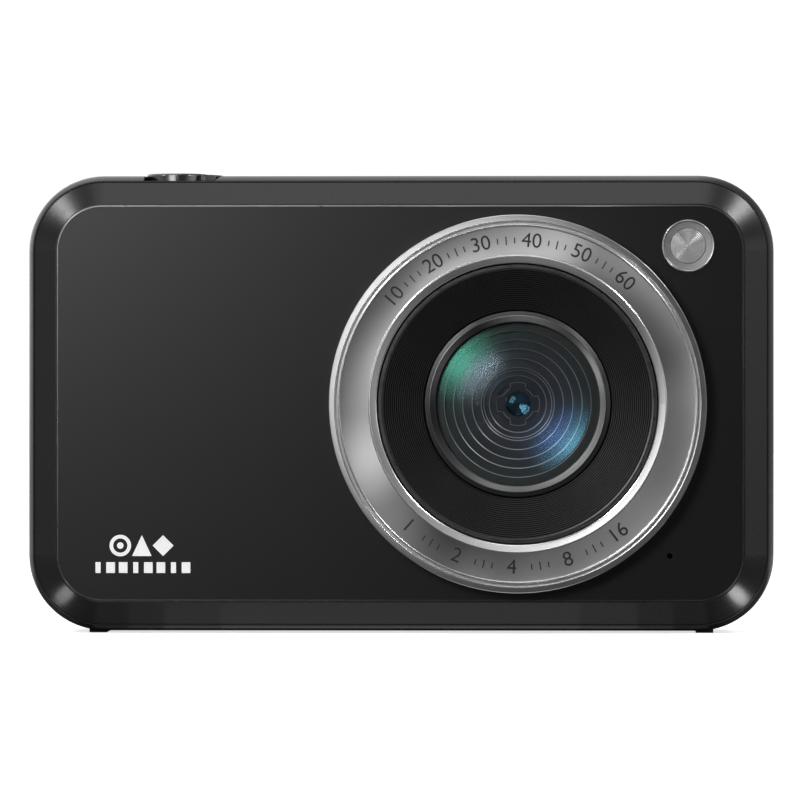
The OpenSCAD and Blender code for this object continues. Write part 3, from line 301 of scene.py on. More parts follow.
# inside and underneath
steel_mat = plain("plated_steel", (0.5, 0.5, 0.52), metallic=1, roughness=0.28)
sheet_mat = plain("sheet_metal", (0.58, 0.58, 0.6), metallic=1, roughness=0.33)
board_mat = plain("solder_mask", (0.012, 0.09, 0.035), roughness=0.35)
chip_mat = plain("chip_black", (0.02, 0.02, 0.024), roughness=0.45)
copper_mat = plain("enamelled_copper", (0.16, 0.06, 0.025), metallic=1, roughness=0.35)
inner_mat = plain("inner_plastic", (0.014, 0.014, 0.016), roughness=0.5)
latch_mat = plain("latch_orange", (0.65, 0.19, 0.02), roughness=0.42)
card_mat = plain("card_black", (0.012, 0.012, 0.014), roughness=0.48)
rubber_mat = plain("foot_rubber", (0.012, 0.012, 0.012), roughness=0.7)
battery_mat = plain("battery_label", (0.02, 0.035, 0.09), roughness=0.33)


# glass
def glass(name, color, **sockets):
    """Clear refracting glass."""
    return Paint(name, color, transmission_weight=1, **sockets).tint(4, 0.02).mat


def film(name, middle, edge, **sockets):
    """Thin coated glass: a faint mirror whose colour turns from the middle towards the edge."""
    paint = Paint(name, edge, metallic=1, **sockets)
    share = paint.node("ShaderNodeMapRange", interpolation_type="SMOOTHSTEP")
    share.inputs["From Min"].default_value = 0.55 * WINDOW_MM * MM
    share.inputs["From Max"].default_value = 0.85 * WINDOW_MM * MM
    paint.link(paint.radius(), share.inputs["Value"])
    mix = paint.node("ShaderNodeMix", data_type="RGBA")
    first_color, second_color, mixed_color = mix.inputs[6], mix.inputs[7], mix.outputs[2]
    first_color.default_value = (*middle, 1)
    second_color.default_value = (*edge, 1)
    paint.link(share.outputs["Result"], mix.inputs["Factor"])
    paint.link(mixed_color, paint.bsdf.inputs["Base Color"])
    return paint.gloss(6, 0.01).mat


window_mat = film("coated_glass", (0.5, 0.68, 0.8), (0.1, 0.5, 0.36), roughness=0.16, alpha=0.024)
bowl_mat = film("coated_second_glass", (0.12, 0.3, 0.75), (0.16, 0.5, 0.72), roughness=0.18, alpha=0.022)
element_mat = glass("element_glass", (0.85, 0.93, 1.0), roughness=0, ior=1.6,
                    specular_tint=(0.3, 0.8, 1.0, 1))
filter_mat = glass("filter_glass", (0.6, 0.85, 0.9), roughness=0, ior=1.5)

NODE_MATERIALS = {
    cover_mat: ["front_cover", "mid_frame", "rear_cover", "battery_door"],
    zoom_mat: ["zoom_ring"],
    panel_mat: ["front_panel"],
    barrel_mat: ["lens_barrel"],
    baffle_mat: ["baffle_cone"],
    steel_mat: ["door_hinge_pin", "tripod_bush", "strap_bar", "screws"],
    sheet_mat: ["shield_can", "key_domes", "screen_frame", "battery_contacts", "card_socket",
                "usb_socket", "zoom_spring", "shutter_spring", "door_snap_clip", "speaker"],
    board_mat: ["camera_board", "top_switch_board", "main_board", "key_board"],
    chip_mat: ["microphone", "image_sensor", "flash_led", "tact_switches", "af_housing"],
    copper_mat: ["af_coil"],
    key_mat: ["power_button", "nav_up", "nav_down", "nav_left", "nav_right", "menu_button",
              "mode_button", "play_button", "delete_button"],
    ok_mat: ["ok_button"],
    inner_mat: ["battery_tray"],
    latch_mat: ["battery_latch"],
    card_mat: ["memory_card"],
    rubber_mat: ["feet"],
    battery_mat: ["battery"],
    screen_mat: ["screen_panel"],
    screen_glass_mat: ["screen_window"],
    mirror_mat: ["flash_reflector"],
    light_mat: ["status_light_pipe"],
    shutter_mat: ["shutter_button"],
    window_mat: ["lens_window"],
    element_mat: ["lens_elements"],
    filter_mat: ["ir_filter"],
}
for material, names in NODE_MATERIALS.items():
    for name in names:
        mesh = nodes[name].data
        mesh.materials.clear()
        mesh.materials.append(material)


# ---- Building pieces ----

def finished(bm, name, sharp_deg=None):
    """The mesh of a bmesh. Its faces point outwards, and edges that bend more than sharp_deg are sharp."""
    bmesh.ops.recalc_face_normals(bm, faces=bm.faces)
    mesh = bpy.data.meshes.new(name)
    bm.to_mesh(mesh)
    bm.free()
    if sharp_deg is not None:
        mesh.set_sharp_from_angle(angle=math.radians(sharp_deg))
    return mesh


def new_piece(name, mesh, materials, body, place=Matrix.Identity(4), replaced=()):
    """Links a mesh as a piece that rides on a body and takes the given materials."""
    piece = bpy.data.objects.new(name, mesh)
    bpy.context.scene.collection.objects.link(piece)
    for material in materials:
        mesh.materials.append(material)
    piece.matrix_world = place
    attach(piece, body)
    if replaced:
        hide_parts(*replaced)
    return piece


def facing_front(x, y, z):
    """Local X to the right, Y up and Z towards whoever faces the lens."""
    return Matrix.Translation((x, y, z)) @ Matrix.Rotation(math.radians(90), 4, "X")


def lathe(name, centre, profile_mm, materials, body="case", segments=256, sharp_deg=25, replaced=()):
    """Closed solid turned about the front-to-back axis through centre.

    profile_mm holds (radius, depth behind the panel's face, index of the material up to the next point).
    """
    bm = bmesh.new()
    rings = []
    for radius, depth, _ in profile_mm:
        if radius == 0:
            rings.append([bm.verts.new((0, 0, -depth * MM))])
            continue
        ring = []
        for i in range(segments):
            a = 2 * math.pi * i / segments
            ring.append(bm.verts.new((radius * MM * math.cos(a), radius * MM * math.sin(a), -depth * MM)))
        rings.append(ring)
    pairs = list(zip(range(len(rings)), list(range(1, len(rings))) + [0]))
    for here, there in pairs:
        a, b = rings[here], rings[there]
        if len(a) == 1 and len(b) == 1:
            continue
        for i in range(segments):
            j = (i + 1) % segments
            if len(a) == 1:
                face = bm.faces.new((a[0], b[i], b[j]))
            elif len(b) == 1:
                face = bm.faces.new((a[i], b[0], a[j]))
            else:
                face = bm.faces.new((a[i], b[i], b[j], a[j]))
            face.material_index = profile_mm[here][2]
            face.smooth = True
    place = facing_front(centre.x, PANEL_Y, centre.z)
    return new_piece(name, finished(bm, name, sharp_deg), materials, body, place, replaced)


def rounded(points, radius, steps=4):
    """The same closed profile with its corners rounded by short arcs."""
    out = []
    count = len(points)
    for i, (r, d, m) in enumerate(points):
        before, after = points[i - 1], points[(i + 1) % count]
        u = Vector((before[0] - r, before[1] - d))
        v = Vector((after[0] - r, after[1] - d))
        reach = min(radius, u.length * 0.45, v.length * 0.45)
        if r == 0 or reach < 1e-4:
            out.append((r, d, m))
            continue
        a = Vector((r, d)) + u.normalized() * reach
        b = Vector((r, d)) + v.normalized() * reach
        for k in range(steps + 1):
            t = k / steps
            p = a * (1 - t) ** 2 + Vector((r, d)) * 2 * t * (1 - t) + b * t ** 2
            out.append((p.x, p.y, m))
    return out


EDGE_MM = 0.05  # rounding of turned edges
BORE_GAP_MM = 0.15  # between the bright ring's bore and the bezel
FACE_BACK_MM = 0.8  # from the ring's front plane to its spun face
FACE_OUTER_MM = 1.62  # from the ring's outside to the spun face's outer edge
FACE_INNER_MM = 1.2  # from the ring's bore to the spun face's inner edge
bezel_lo, bezel_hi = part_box("ribbed_bezel")
trim_mm = (ring_hi.x - ring_lo.x) / 2 / MM
bore_mm = (bezel_hi.x - bezel_lo.x) / 2 / MM + BORE_GAP_MM
seat_d = (ring_hi.y - PANEL_Y) / MM
face_d = -(PANEL_Y - ring_lo.y) / MM + FACE_BACK_MM

# bright ring, from its back inside: outer lip, turned band, ridge, spun face, sloping inner band
LIP, FACE, GROOVE, BAND, OUTER = 0, 1, 2, 3, 4
trim_profile = [
    (bore_mm, seat_d, GROOVE),
    (trim_mm - 2.8, seat_d, GROOVE),
    (trim_mm - 2.8, 0.0, GROOVE),
    (trim_mm - 0.05, 0.0, GROOVE),
    (trim_mm, -0.3, LIP),
    (trim_mm, face_d + 0.3, LIP),
    (trim_mm - 0.1, face_d + 0.1, OUTER),
    (trim_mm - 0.82, face_d - 0.02, LIP),
    (trim_mm - 0.93, face_d + 0.02, LIP),
    (trim_mm - 0.97, face_d + 0.14, OUTER),
    (trim_mm - 1.3, face_d + 0.14, LIP),
    (trim_mm - 1.34, face_d - 0.02, LIP),
    (trim_mm - 1.43, face_d - 0.07, LIP),
    (trim_mm - 1.55, face_d - 0.03, LIP),
    (trim_mm - FACE_OUTER_MM, face_d + 0.06, FACE),
    (bore_mm + FACE_INNER_MM, face_d - 0.04, LIP),
    (bore_mm + 1.14, face_d - 0.28, LIP),
    (bore_mm + 1.04, face_d - 0.34, BAND),
    (bore_mm + 0.2, face_d - 0.02, LIP),
    (bore_mm + 0.08, face_d + 0.06, LIP),
    (bore_mm, face_d + 0.2, GROOVE),
]
lathe("spun_trim_ring", LENS, rounded(trim_profile, EDGE_MM),
      [lip_mat, face_sheen_mat, groove_mat, band_sheen_mat, outer_mat],
      segments=320, replaced=("lens_trim_ring",))

# black bezel with fine ribs that step inwards
inner_lo, inner_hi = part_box("lens_inner_ring")
inner_ring_mm = (inner_hi.x - inner_lo.x) / 2 / MM
rim_d = (bezel_lo.y - PANEL_Y) / MM
rim_r = bore_mm - BORE_GAP_MM
rib_top_r = rim_r - 0.65
rib_low_r = inner_ring_mm + 0.13
rib_in_d = -1.0
RIB_COUNT = 20
RIB_HEIGHT_MM = 0.13
RIM, RIB, CREST = 0, 1, 2
bezel_profile = [
    (rib_low_r, seat_d, RIB),
    (rim_r, seat_d, RIB),
    (rim_r, rim_d + 0.04, RIM),
    (rim_r - 0.04, rim_d, RIM),
    (rim_r - 0.46, rim_d, RIM),
    (rim_r - 0.5, rim_d + 0.06, RIM),
]
for rib in range(RIB_COUNT):
    for part, sunk, paint in ((0.0, 0.0, CREST), (0.4, 0.0, RIB), (0.5, 1.0, RIB), (0.9, 1.0, RIB)):
        t = (rib + part) / RIB_COUNT
        bezel_profile.append((rib_top_r + (rib_low_r - rib_top_r) * t,
                              rim_d + 0.1 + (rib_in_d - rim_d - 0.1) * t + sunk * RIB_HEIGHT_MM, paint))
bezel_profile.append((rib_low_r, rib_in_d, RIB))
lathe("fine_rib_bezel", LENS, bezel_profile, [rim_mat, rib_mat, rib_crest_highlight_mat],
      sharp_deg=20, replaced=("ribbed_bezel",))

# dark metal ring round the glass
window_d0 = (window_lo.y - PANEL_Y) / MM
window_d1 = (window_hi.y - PANEL_Y) / MM
inner_d = (inner_lo.y - PANEL_Y) / MM
LAND, SLOPE = 0, 1
inner_profile = [
    (WINDOW_MM + 0.35, seat_d, SLOPE),
    (inner_ring_mm, seat_d, SLOPE),
    (inner_ring_mm, inner_d + 0.3, SLOPE),
    (inner_ring_mm - 0.5, inner_d + 0.1, SLOPE),
    (inner_ring_mm - 0.56, inner_d + 0.02, LAND),
    (inner_ring_mm - 0.66, inner_d, LAND),
    (inner_ring_mm - 0.74, inner_d + 0.03, LAND),
    (WINDOW_MM + 0.12, inner_d + 0.12, SLOPE),
    (WINDOW_MM + 0.05, inner_d + 0.24, SLOPE),
    (WINDOW_MM + 0.05, window_d1, SLOPE),
    (WINDOW_MM + 0.35, window_d1, SLOPE),
]
lathe("gunmetal_ring", LENS, rounded(inner_profile, 0.04), [gun_sheen_mat, gun_edge_mat],
      replaced=("lens_inner_ring",))

# stepped light baffle, each step with a thin edge painted lighter as a highlight
baffle_lo, baffle_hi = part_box("baffle_cone")
barrel_lo, barrel_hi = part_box("lens_barrel")
barrel_mm = (barrel_hi.x - barrel_lo.x) / 2 / MM
baffle_hole = barrel_mm + 0.03
baffle_top = WINDOW_MM - 1.16
baffle_r = WINDOW_MM + 0.3
flange_r = (baffle_hi.x - baffle_lo.x) / 2 / MM
back_d = (baffle_hi.y - PANEL_Y) / MM
wall_d = back_d - 0.6
STEP_SHARES = (1.0, 0.875, 0.75, 0.62, 0.495, 0.46, 0.385)
DARK, EDGE_HIGHLIGHT = 0, 1
baffle_profile = [
    (baffle_hole, back_d, DARK),
    (baffle_r, back_d, DARK),
    (baffle_r, 3.25, DARK),
    (flange_r, 3.25, DARK),
    (flange_r, 2.45, DARK),
    (baffle_r, 2.45, DARK),
    (baffle_r, window_d1, DARK),
    (baffle_top + 0.1, window_d1, EDGE_HIGHLIGHT),
]
step_d = (wall_d - window_d1) / len(STEP_SHARES)
for step, share in enumerate(STEP_SHARES):
    r = baffle_top * share
    d = window_d1 + step_d * step
    inner = baffle_top * STEP_SHARES[step + 1] if step + 1 < len(STEP_SHARES) else baffle_hole
    baffle_profile += [(r, d + 0.1, DARK), (r, d + step_d, DARK), (inner + 0.12, d + step_d, EDGE_HIGHLIGHT)]
baffle_profile[-1] = (baffle_hole, wall_d, DARK)
lathe("stepped_baffle", LENS, baffle_profile, [baffle_mat, step_highlight_mat],
      replaced=("baffle_cone",))

# thin lines that run round the body's outline
CORNER_MM = 10.55  # radius of the body's corners, as in the frame


def frame_loop(name, profile_mm, material, corner_steps=24):
    """Closed section swept round the body's outline.

    profile_mm holds (distance out from the corner centres, depth behind the panel's face).
    """
    half_x = (body_hi.x - body_lo.x) / 2 - CORNER_MM * MM
    half_z = (body_hi.z - body_lo.z) / 2 - CORNER_MM * MM
    bm = bmesh.new()
    rings = []
    for sx, sz, start in ((1, 1, 0), (-1, 1, 90), (-1, -1, 180), (1, -1, 270)):
        for k in range(corner_steps + 1):
            a = math.radians(start + 90 * k / corner_steps)
            c, s = math.cos(a), math.sin(a)
            rings.append([bm.verts.new((sx * half_x + u * MM * c, sz * half_z + u * MM * s, -d * MM))
                          for u, d in profile_mm])
    for i, here in enumerate(rings):
        there = rings[(i + 1) % len(rings)]
        for k in range(len(profile_mm)):
            m = (k + 1) % len(profile_mm)
            bm.faces.new((here[k], there[k], there[m], here[m])).smooth = True
    place = facing_front((body_lo.x + body_hi.x) / 2, PANEL_Y, BODY_MID.z)
    return new_piece(name, finished(bm, name, 35), [material], "case", place)


panel_u = (panel_hi.x - body_hi.x) / MM + CORNER_MM
EDGE_LINE_MM = 0.2  # width of the bead along the panel's rim
edge_line = [(panel_u - EDGE_LINE_MM - 0.02, 0.2)]
edge_line += [(panel_u - EDGE_LINE_MM / 2 - EDGE_LINE_MM / 2 * math.cos(a), -0.01 - 0.06 * math.sin(a))
              for a in (math.pi * k / 6 for k in range(7))]
edge_line += [(panel_u + 0.03, 0.02), (panel_u + 0.15, 0.08), (panel_u + 0.15, 0.2)]
frame_loop("panel_edge_line", edge_line, edge_mat)
cover_u = (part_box("front_cover")[1].x - body_hi.x) / MM + CORNER_MM
gasket = [(cover_u - 0.05, 1.95), (cover_u + 0.12, 2.05), (cover_u + 0.12, 2.5), (cover_u - 0.05, 2.5)]
frame_loop("cover_gasket", gasket, rubber_mat)


def curved_shell(name, radius, edge_d, bulge, thickness, material, replaced=(), steps=24):
    """Thin round glass. bulge is how far its middle stands in front of its edge, at depth edge_d."""
    front = []
    for i in range(steps + 1):
        share = i / steps
        front.append((radius * share, edge_d - bulge * (1 - share ** 2), 0))
    back = [(r, d + thickness, 0) for r, d, _ in reversed(front)]
    return lathe(name, LENS, front + back, [material], segments=192, sharp_deg=50,
                 replaced=replaced)


# coated front glass: a shallow dome with a shallow bowl behind it
curved_shell("front_glass", WINDOW_MM, window_d0 + 0.1, 1.45, 0.25, window_mat, ("lens_window",))
curved_shell("second_glass", baffle_top - 0.15, window_d0 + 0.45, -1.35, 0.2, bowl_mat)

# flash: bright rim, dished grey ring and ringed lens
flash_mm = (flash_hi.x - flash_lo.x) / 2 / MM
flash_lens_lo, flash_lens_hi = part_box("flash_lens")
flash_lens_mm = (flash_lens_hi.x - flash_lens_lo.x) / 2 / MM
BRIGHT, GREY = 0, 1
flash_profile = [
    (flash_lens_mm + 0.06, 2.3, GREY),
    (flash_mm - 0.54, 2.3, GREY),
    (flash_mm - 0.54, 0.0, GREY),
    (flash_mm, 0.0, BRIGHT),
    (flash_mm, -0.25, BRIGHT),
    (flash_mm - 0.12, -0.39, BRIGHT),
    (flash_mm - 0.26, -0.33, GREY),
    (flash_mm - 0.3, -0.08, GREY),
    (flash_lens_mm + 0.06, -0.08, GREY),
]
lathe("flash_rim", FLASH, rounded(flash_profile, 0.03), [lip_mat, flash_ring_mat],
      segments=128, replaced=("flash_trim_ring",))
fresnel_profile = [(0, 0.9, 0), (flash_lens_mm, 0.9, 0), (flash_lens_mm, -0.04, 0)]
FRESNEL_RINGS = 9
for ring in range(FRESNEL_RINGS, 0, -1):
    outer = flash_lens_mm * ring / (FRESNEL_RINGS + 0.5)
    fresnel_profile += [(outer, -0.1, 0), (outer - 0.06, -0.1, 0), (outer - 0.1, -0.02, 0)]
fresnel_profile.append((0, -0.1, 0))
lathe("flash_fresnel", FLASH, fresnel_profile, [flash_disc_sheen_mat], segments=96,
      replaced=("flash_lens",))


def coil(name, node, turns, material, wire_mm=0.16, steps=28, sides=10):
    """Round wire wound up local Z inside a CAD spring's box."""
    lo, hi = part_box(node)
    wire = wire_mm * MM
    radius = (hi.x - lo.x) / 2 - wire
    rise = hi.z - lo.z - 2 * wire
    bm = bmesh.new()
    rings = []
    for i in range(turns * steps + 1):
        a = 2 * math.pi * i / steps
        ring = []
        for k in range(sides):
            b = 2 * math.pi * k / sides
            out = radius + wire * math.cos(b)
            ring.append(bm.verts.new((out * math.cos(a), out * math.sin(a),
                                      wire + rise * i / (turns * steps) + wire * math.sin(b))))
        rings.append(ring)
    for here, there in zip(rings, rings[1:]):
        for k in range(sides):
            m = (k + 1) % sides
            bm.faces.new((here[k], here[m], there[m], there[k])).smooth = True
    bm.faces.new(rings[0][::-1])
    bm.faces.new(rings[-1])
    place = Matrix.Translation(((lo.x + hi.x) / 2, (lo.y + hi.y) / 2, lo.z))
    return new_piece(name, finished(bm, name, 50), [material], "case", place, (node,))


# the shutter spring, wound as a coil with a mesh of its own
shutter_coil = coil("shutter_coil", "shutter_spring", 5, steel_mat)
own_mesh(shutter_coil)


# ---- Printed and engraved marks ----

THICK_MM = 0.05  # how far marks stand up
SUNK_MM = THICK_MM * 0.6  # how deep marks sink into a rear key or the power button
DIGIT_SHARE = 0.7  # a digit's height as a share of the font's size


def disc(cx, cy, radius, count=24):
    return [(cx + radius * math.cos(2 * math.pi * i / count), cy + radius * math.sin(2 * math.pi * i / count))
            for i in range(count)]


def bar(cx, cy, width, height, turn=0):
    c, s = math.cos(math.radians(turn)), math.sin(math.radians(turn))
    corners = [(across * width / 2, up * height / 2) for across, up in ((-1, -1), (1, -1), (1, 1), (-1, 1))]
    return [(cx + x * c - y * s, cy + x * s + y * c) for x, y in corners]


def hoop(cx, cy, radius, stroke, start=0, end=360, count=32):
    """Quads that follow an arc."""
    quads = []
    for i in range(count):
        a, b = (math.radians(start + (end - start) * k / count) for k in (i, i + 1))
        inner, outer = radius - stroke / 2, radius + stroke / 2
        quads.append([(cx + r * math.cos(v), cy + r * math.sin(v))
                      for r, v in ((inner, a), (outer, a), (outer, b), (inner, b))])
    return quads


def marks(name, shapes, material, body, place):
    """Thin closed prisms on local XY, in millimetres, standing THICK_MM up local Z."""
    bm = bmesh.new()
    for shape in shapes:
        low = [bm.verts.new((x * MM, y * MM, 0)) for x, y in shape]
        high = [bm.verts.new((x * MM, y * MM, THICK_MM * MM)) for x, y in shape]
        bm.faces.new(high)
        bm.faces.new(low[::-1])
        for i in range(len(shape)):
            j = (i + 1) % len(shape)
            bm.faces.new((low[i], low[j], high[j], high[i]))
    return new_piece(name, finished(bm, name), [material], body, place)


def digit_mesh(text, height_mm):
    """Plain digits of that height as a mesh centred on its own origin."""
    curve = bpy.data.curves.new("digits", "FONT")
    curve.body = text
    curve.size = height_mm * MM / DIGIT_SHARE
    curve.extrude = THICK_MM * MM / 2
    curve.align_x = "CENTER"
    curve.align_y = "CENTER"
    curve.resolution_u = 6
    holder = bpy.data.objects.new("digits", curve)
    mesh = bpy.data.meshes.new_from_object(holder)
    bpy.data.objects.remove(holder)
    bpy.data.curves.remove(curve)
    return mesh


def ring_scale():
    """Numbers and ticks round the bright ring's face, in place of lettering."""
    bm = bmesh.new()
    face_mid = (trim_mm - FACE_OUTER_MM + bore_mm + FACE_INNER_MM) / 2
    upper = zip((139, 121, 103, 85, 67, 49), (10, 20, 30, 40, 50, 60))
    lower = zip((228, 248, 268, 288, 308), (1, 2, 4, 8, 16))
    labels = [(azimuth, number, -90) for azimuth, number in upper]
    labels += [(azimuth, number, 90) for azimuth, number in lower]
    for azimuth, number, upright in labels:
        digits = digit_mesh(str(number), 2.0)
        turn = math.radians(azimuth + upright)
        a = math.radians(azimuth)
        digits.transform(Matrix.Translation((face_mid * MM * math.cos(a), face_mid * MM * math.sin(a), 0))
                         @ Matrix.Rotation(turn, 4, "Z"))
        bm.from_mesh(digits)
        bpy.data.meshes.remove(digits)
    for azimuth in (130, 112, 94, 76, 58, 238, 258, 278, 298):  # between two numbers
        for offset, length in ((-3, 0.8), (0, 1.2), (3, 0.8)):
            turn = Matrix.Rotation(math.radians(azimuth + offset), 4, "Z")
            size = Matrix.Diagonal((length * MM, 0.16 * MM, THICK_MM * MM, 1))
            bmesh.ops.create_cube(bm, size=1, matrix=turn @ Matrix.Translation((face_mid * MM, 0, 0)) @ size)
    mesh = bpy.data.meshes.new("ring_scale")
    bm.to_mesh(mesh)
    bm.free()
    place = facing_front(LENS.x, PANEL_Y + face_d * MM, LENS.z)
    new_piece("ring_scale", mesh, [engraved_mat], "case", place)


ring_scale()

# white signs at the lower left of the front, in place of lettering
SIGN_X = body_lo.x + 16.1 * MM
SIGN_TOP_Z = body_lo.z + 11.96 * MM
SIGN_LOW_Z = body_lo.z + 8.9 * MM
top_row = hoop(-3.0, 0, 1.25, 0.5) + [disc(-3.0, 0, 0.45)]
top_row += [[(-1.35, -1.45), (1.35, -1.45), (0, 1.45)]]
top_row += [[(2.95, -1.45), (4.4, 0), (2.95, 1.45), (1.5, 0)]]
marks("front_signs", top_row, glowing_mark_mat, "case", facing_front(SIGN_X, PANEL_Y, SIGN_TOP_Z))
low_row = [bar(-6.1 + 1.75 * i, 0, 1.2 if i % 3 else 0.7, 1.5) for i in range(8)]
marks("front_squares", low_row, glowing_mark_mat, "case", facing_front(SIGN_X, PANEL_Y, SIGN_LOW_Z))

# outline of the barrel's four square tabs, in lighter lines as a painted highlight on their edges
ROOT_MM = barrel_mm - 0.65  # radius between the tabs
TAB_MM = 2.2  # width of a tab
LINE_MM = 0.07
outline = []
root_turn = math.degrees(math.asin(TAB_MM / 2 / ROOT_MM))
tab_turn = math.degrees(math.asin(TAB_MM / 2 / barrel_mm))
for quarter in range(4):
    turn = 90 * quarter
    outline += hoop(0, 0, ROOT_MM - LINE_MM / 2, LINE_MM, turn + root_turn, turn + 90 - root_turn, 12)
    outline += hoop(0, 0, barrel_mm - LINE_MM / 2, LINE_MM, turn - tab_turn, turn + tab_turn, 8)
    for way in (-1, 1):
        side = Vector((barrel_mm - 0.45, way * (TAB_MM - LINE_MM) / 2))
        middle = Matrix.Rotation(math.radians(turn), 2) @ side
        outline.append(bar(middle.x, middle.y, 0.62, LINE_MM, turn))
marks("barrel_tab_highlight_lines", outline, step_highlight_mat, "focus_group",
      facing_front(LENS.x, barrel_lo.y + THICK_MM * MM * 0.4, LENS.z))


def facing_back(node):
    """On the middle of a key's rear face: local X is right as seen from behind, Y is up."""
    lo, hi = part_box(node)
    return Matrix(((-1, 0, 0, (lo.x + hi.x) / 2),
                   (0, 0, 1, hi.y - SUNK_MM * MM),
                   (0, 1, 0, (lo.z + hi.z) / 2),
                   (0, 0, 0, 1)))


key_signs = {
    "menu_button": [bar(0, y, 2.0, 0.3) for y in (-0.7, 0, 0.7)],
    "mode_button": hoop(0, 0, 0.85, 0.28) + [disc(0, 0, 0.3)],
    "play_button": [[(-0.65, -0.85), (0.95, 0), (-0.65, 0.85)]],
    "delete_button": [bar(0, 0, 2.0, 0.32, 45), bar(0.5, -0.5, 0.85, 0.32, -45),
                      bar(-0.5, 0.5, 0.85, 0.32, -45)],
}
for node, shapes in key_signs.items():
    marks(node + "_sign", shapes, glowing_mark_mat, node, facing_back(node))
ok_lo, ok_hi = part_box("ok_button")
pad_middle = Vector(((ok_lo.x + ok_hi.x) / 2, 0, (ok_lo.z + ok_hi.z) / 2))
ARROW_MM = 6.6  # from the pad's middle to an arrow
for node in ("nav_up", "nav_down", "nav_right", "nav_left"):
    lo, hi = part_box(node)
    turn = math.atan2(pad_middle.x - (lo.x + hi.x) / 2, (lo.z + hi.z) / 2 - pad_middle.z)
    c, s = math.cos(turn), math.sin(turn)
    arrow = [(x * c + (y + ARROW_MM) * s, -x * s + (y + ARROW_MM) * c)
             for x, y in ((-0.75, -0.4), (0.75, -0.4), (0, 0.5))]
    place = facing_back(node)
    place.translation.x = pad_middle.x
    place.translation.z = pad_middle.z
    marks(node + "_arrow", [arrow], glowing_mark_mat, node, place)
marks("ok_ring", hoop(0, 0, 1.6, 0.25), glowing_mark_mat, "ok_button", facing_back("ok_button"))
power_lo, power_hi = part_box("power_button")
power_top = Matrix.Translation(((power_lo.x + power_hi.x) / 2, (power_lo.y + power_hi.y) / 2,
                                power_hi.z - SUNK_MM * MM))
power_sign = hoop(0, 0, 0.95, 0.26, 120, 420) + [bar(0, 0.75, 0.26, 1.0)]
marks("power_sign", power_sign, glowing_mark_mat, "power_button", power_top)


# ---- Stage, light and camera ----

def area_light(name, place, target, size, power, shape="RECTANGLE"):
    """Lamp that lights and is reflected, but isn't seen by the camera itself."""
    data = bpy.data.lights.new(name, "AREA")
    data.shape = shape
    data.size, data.size_y = size
    data.energy = power
    lamp = bpy.data.objects.new(name, data)
    bpy.context.scene.collection.objects.link(lamp)
    lamp.location = place
    lamp.rotation_euler = (Vector(target) - Vector(place)).to_track_quat("-Z", "Y").to_euler()
    lamp.visible_camera = False


def camera_sees(tree, shader, others_see, output):
    """Rays from the camera meet one shader, and all other rays meet the other."""
    ray = tree.nodes.new("ShaderNodeLightPath")
    mix = tree.nodes.new("ShaderNodeMixShader")
    tree.links.new(ray.outputs["Is Camera Ray"], mix.inputs[0])
    tree.links.new(others_see.outputs[0], mix.inputs[1])
    tree.links.new(shader.outputs[0], mix.inputs[2])
    tree.links.new(mix.outputs[0], tree.nodes[output].inputs["Surface"])


def studio_world():
    """White to the camera. Lit surfaces see a room that is pale above, beside and behind the object, and dark
    behind the photographer and on the four diagonals, so that black edges keep their shape."""
    world = bpy.data.worlds.new("studio")
    world.use_nodes = True
    tree = world.node_tree
    sky = tree.nodes["Background"]
    sky.inputs["Color"].default_value = (1, 1, 1, 1)
    coords = tree.nodes.new("ShaderNodeTexCoord")
    split = tree.nodes.new("ShaderNodeSeparateXYZ")
    tree.links.new(coords.outputs["Generated"], split.inputs[0])

    def math_node(operation, *values):
        made = tree.nodes.new("ShaderNodeMath")
        made.operation = operation
        for socket, value in zip(made.inputs, values):
            if isinstance(value, (int, float)):
                socket.default_value = value
            else:
                tree.links.new(value, socket)
        return made.outputs[0]

    def product(first, *others):
        for other in others:
            first = math_node("MULTIPLY", first, other)
        return first

    def smooth(value, low, high, at_low, at_high):
        made = tree.nodes.new("ShaderNodeMapRange")
        made.interpolation_type = "SMOOTHSTEP"
        for key, number in (("From Min", low), ("From Max", high), ("To Min", at_low), ("To Max", at_high)):
            made.inputs[key].default_value = number
        tree.links.new(value, made.inputs["Value"])
        return made.outputs["Result"]

    x, y, z = split.outputs
    round_front = smooth(y, -0.9, -0.45, 0.035, 0.4)
    sides = smooth(x, -0.9, 0.9, 1.2, 1.75)
    behind = smooth(y, 0.0, 0.6, 1.0, 3.0)
    upward = product(smooth(z, 0.1, 0.9, 1.0, 2.1), smooth(x, -0.9, 0.9, 0.85, 1.25))

    # the half behind the object is shaded towards one side and the top
    back_flags = product(smooth(x, -0.2, 0.3, 1.0, 0.16), smooth(z, 0.05, 0.5, 1.0, 0.4))
    back_half = smooth(y, -0.15, 0.1, 0.0, 1.0)
    back_shade = math_node("SUBTRACT", 1, product(back_half, math_node("SUBTRACT", 1, back_flags)))

    # the four diagonals are dark in front of the object
    cross = math_node("ABSOLUTE", product(x, z))
    rim = math_node("ADD", math_node("ADD", product(x, x), product(z, z)), 1e-4)
    diagonal = smooth(math_node("DIVIDE", cross, rim), 0.12, 0.3, 0.0, 1.0)
    ahead = smooth(y, -0.25, -0.1, 0.9, 0.0)
    flags = math_node("SUBTRACT", 1, product(diagonal, ahead))

    level = product(round_front, upward, flags, behind, sides, back_shade)
    tree.links.new(level, sky.inputs["Strength"])
    white = tree.nodes.new("ShaderNodeBackground")
    white.inputs["Color"].default_value = (1, 1, 1, 1)
    white.inputs["Strength"].default_value = 1.05
    camera_sees(tree, white, sky, "World Output")
    bpy.context.scene.world = world


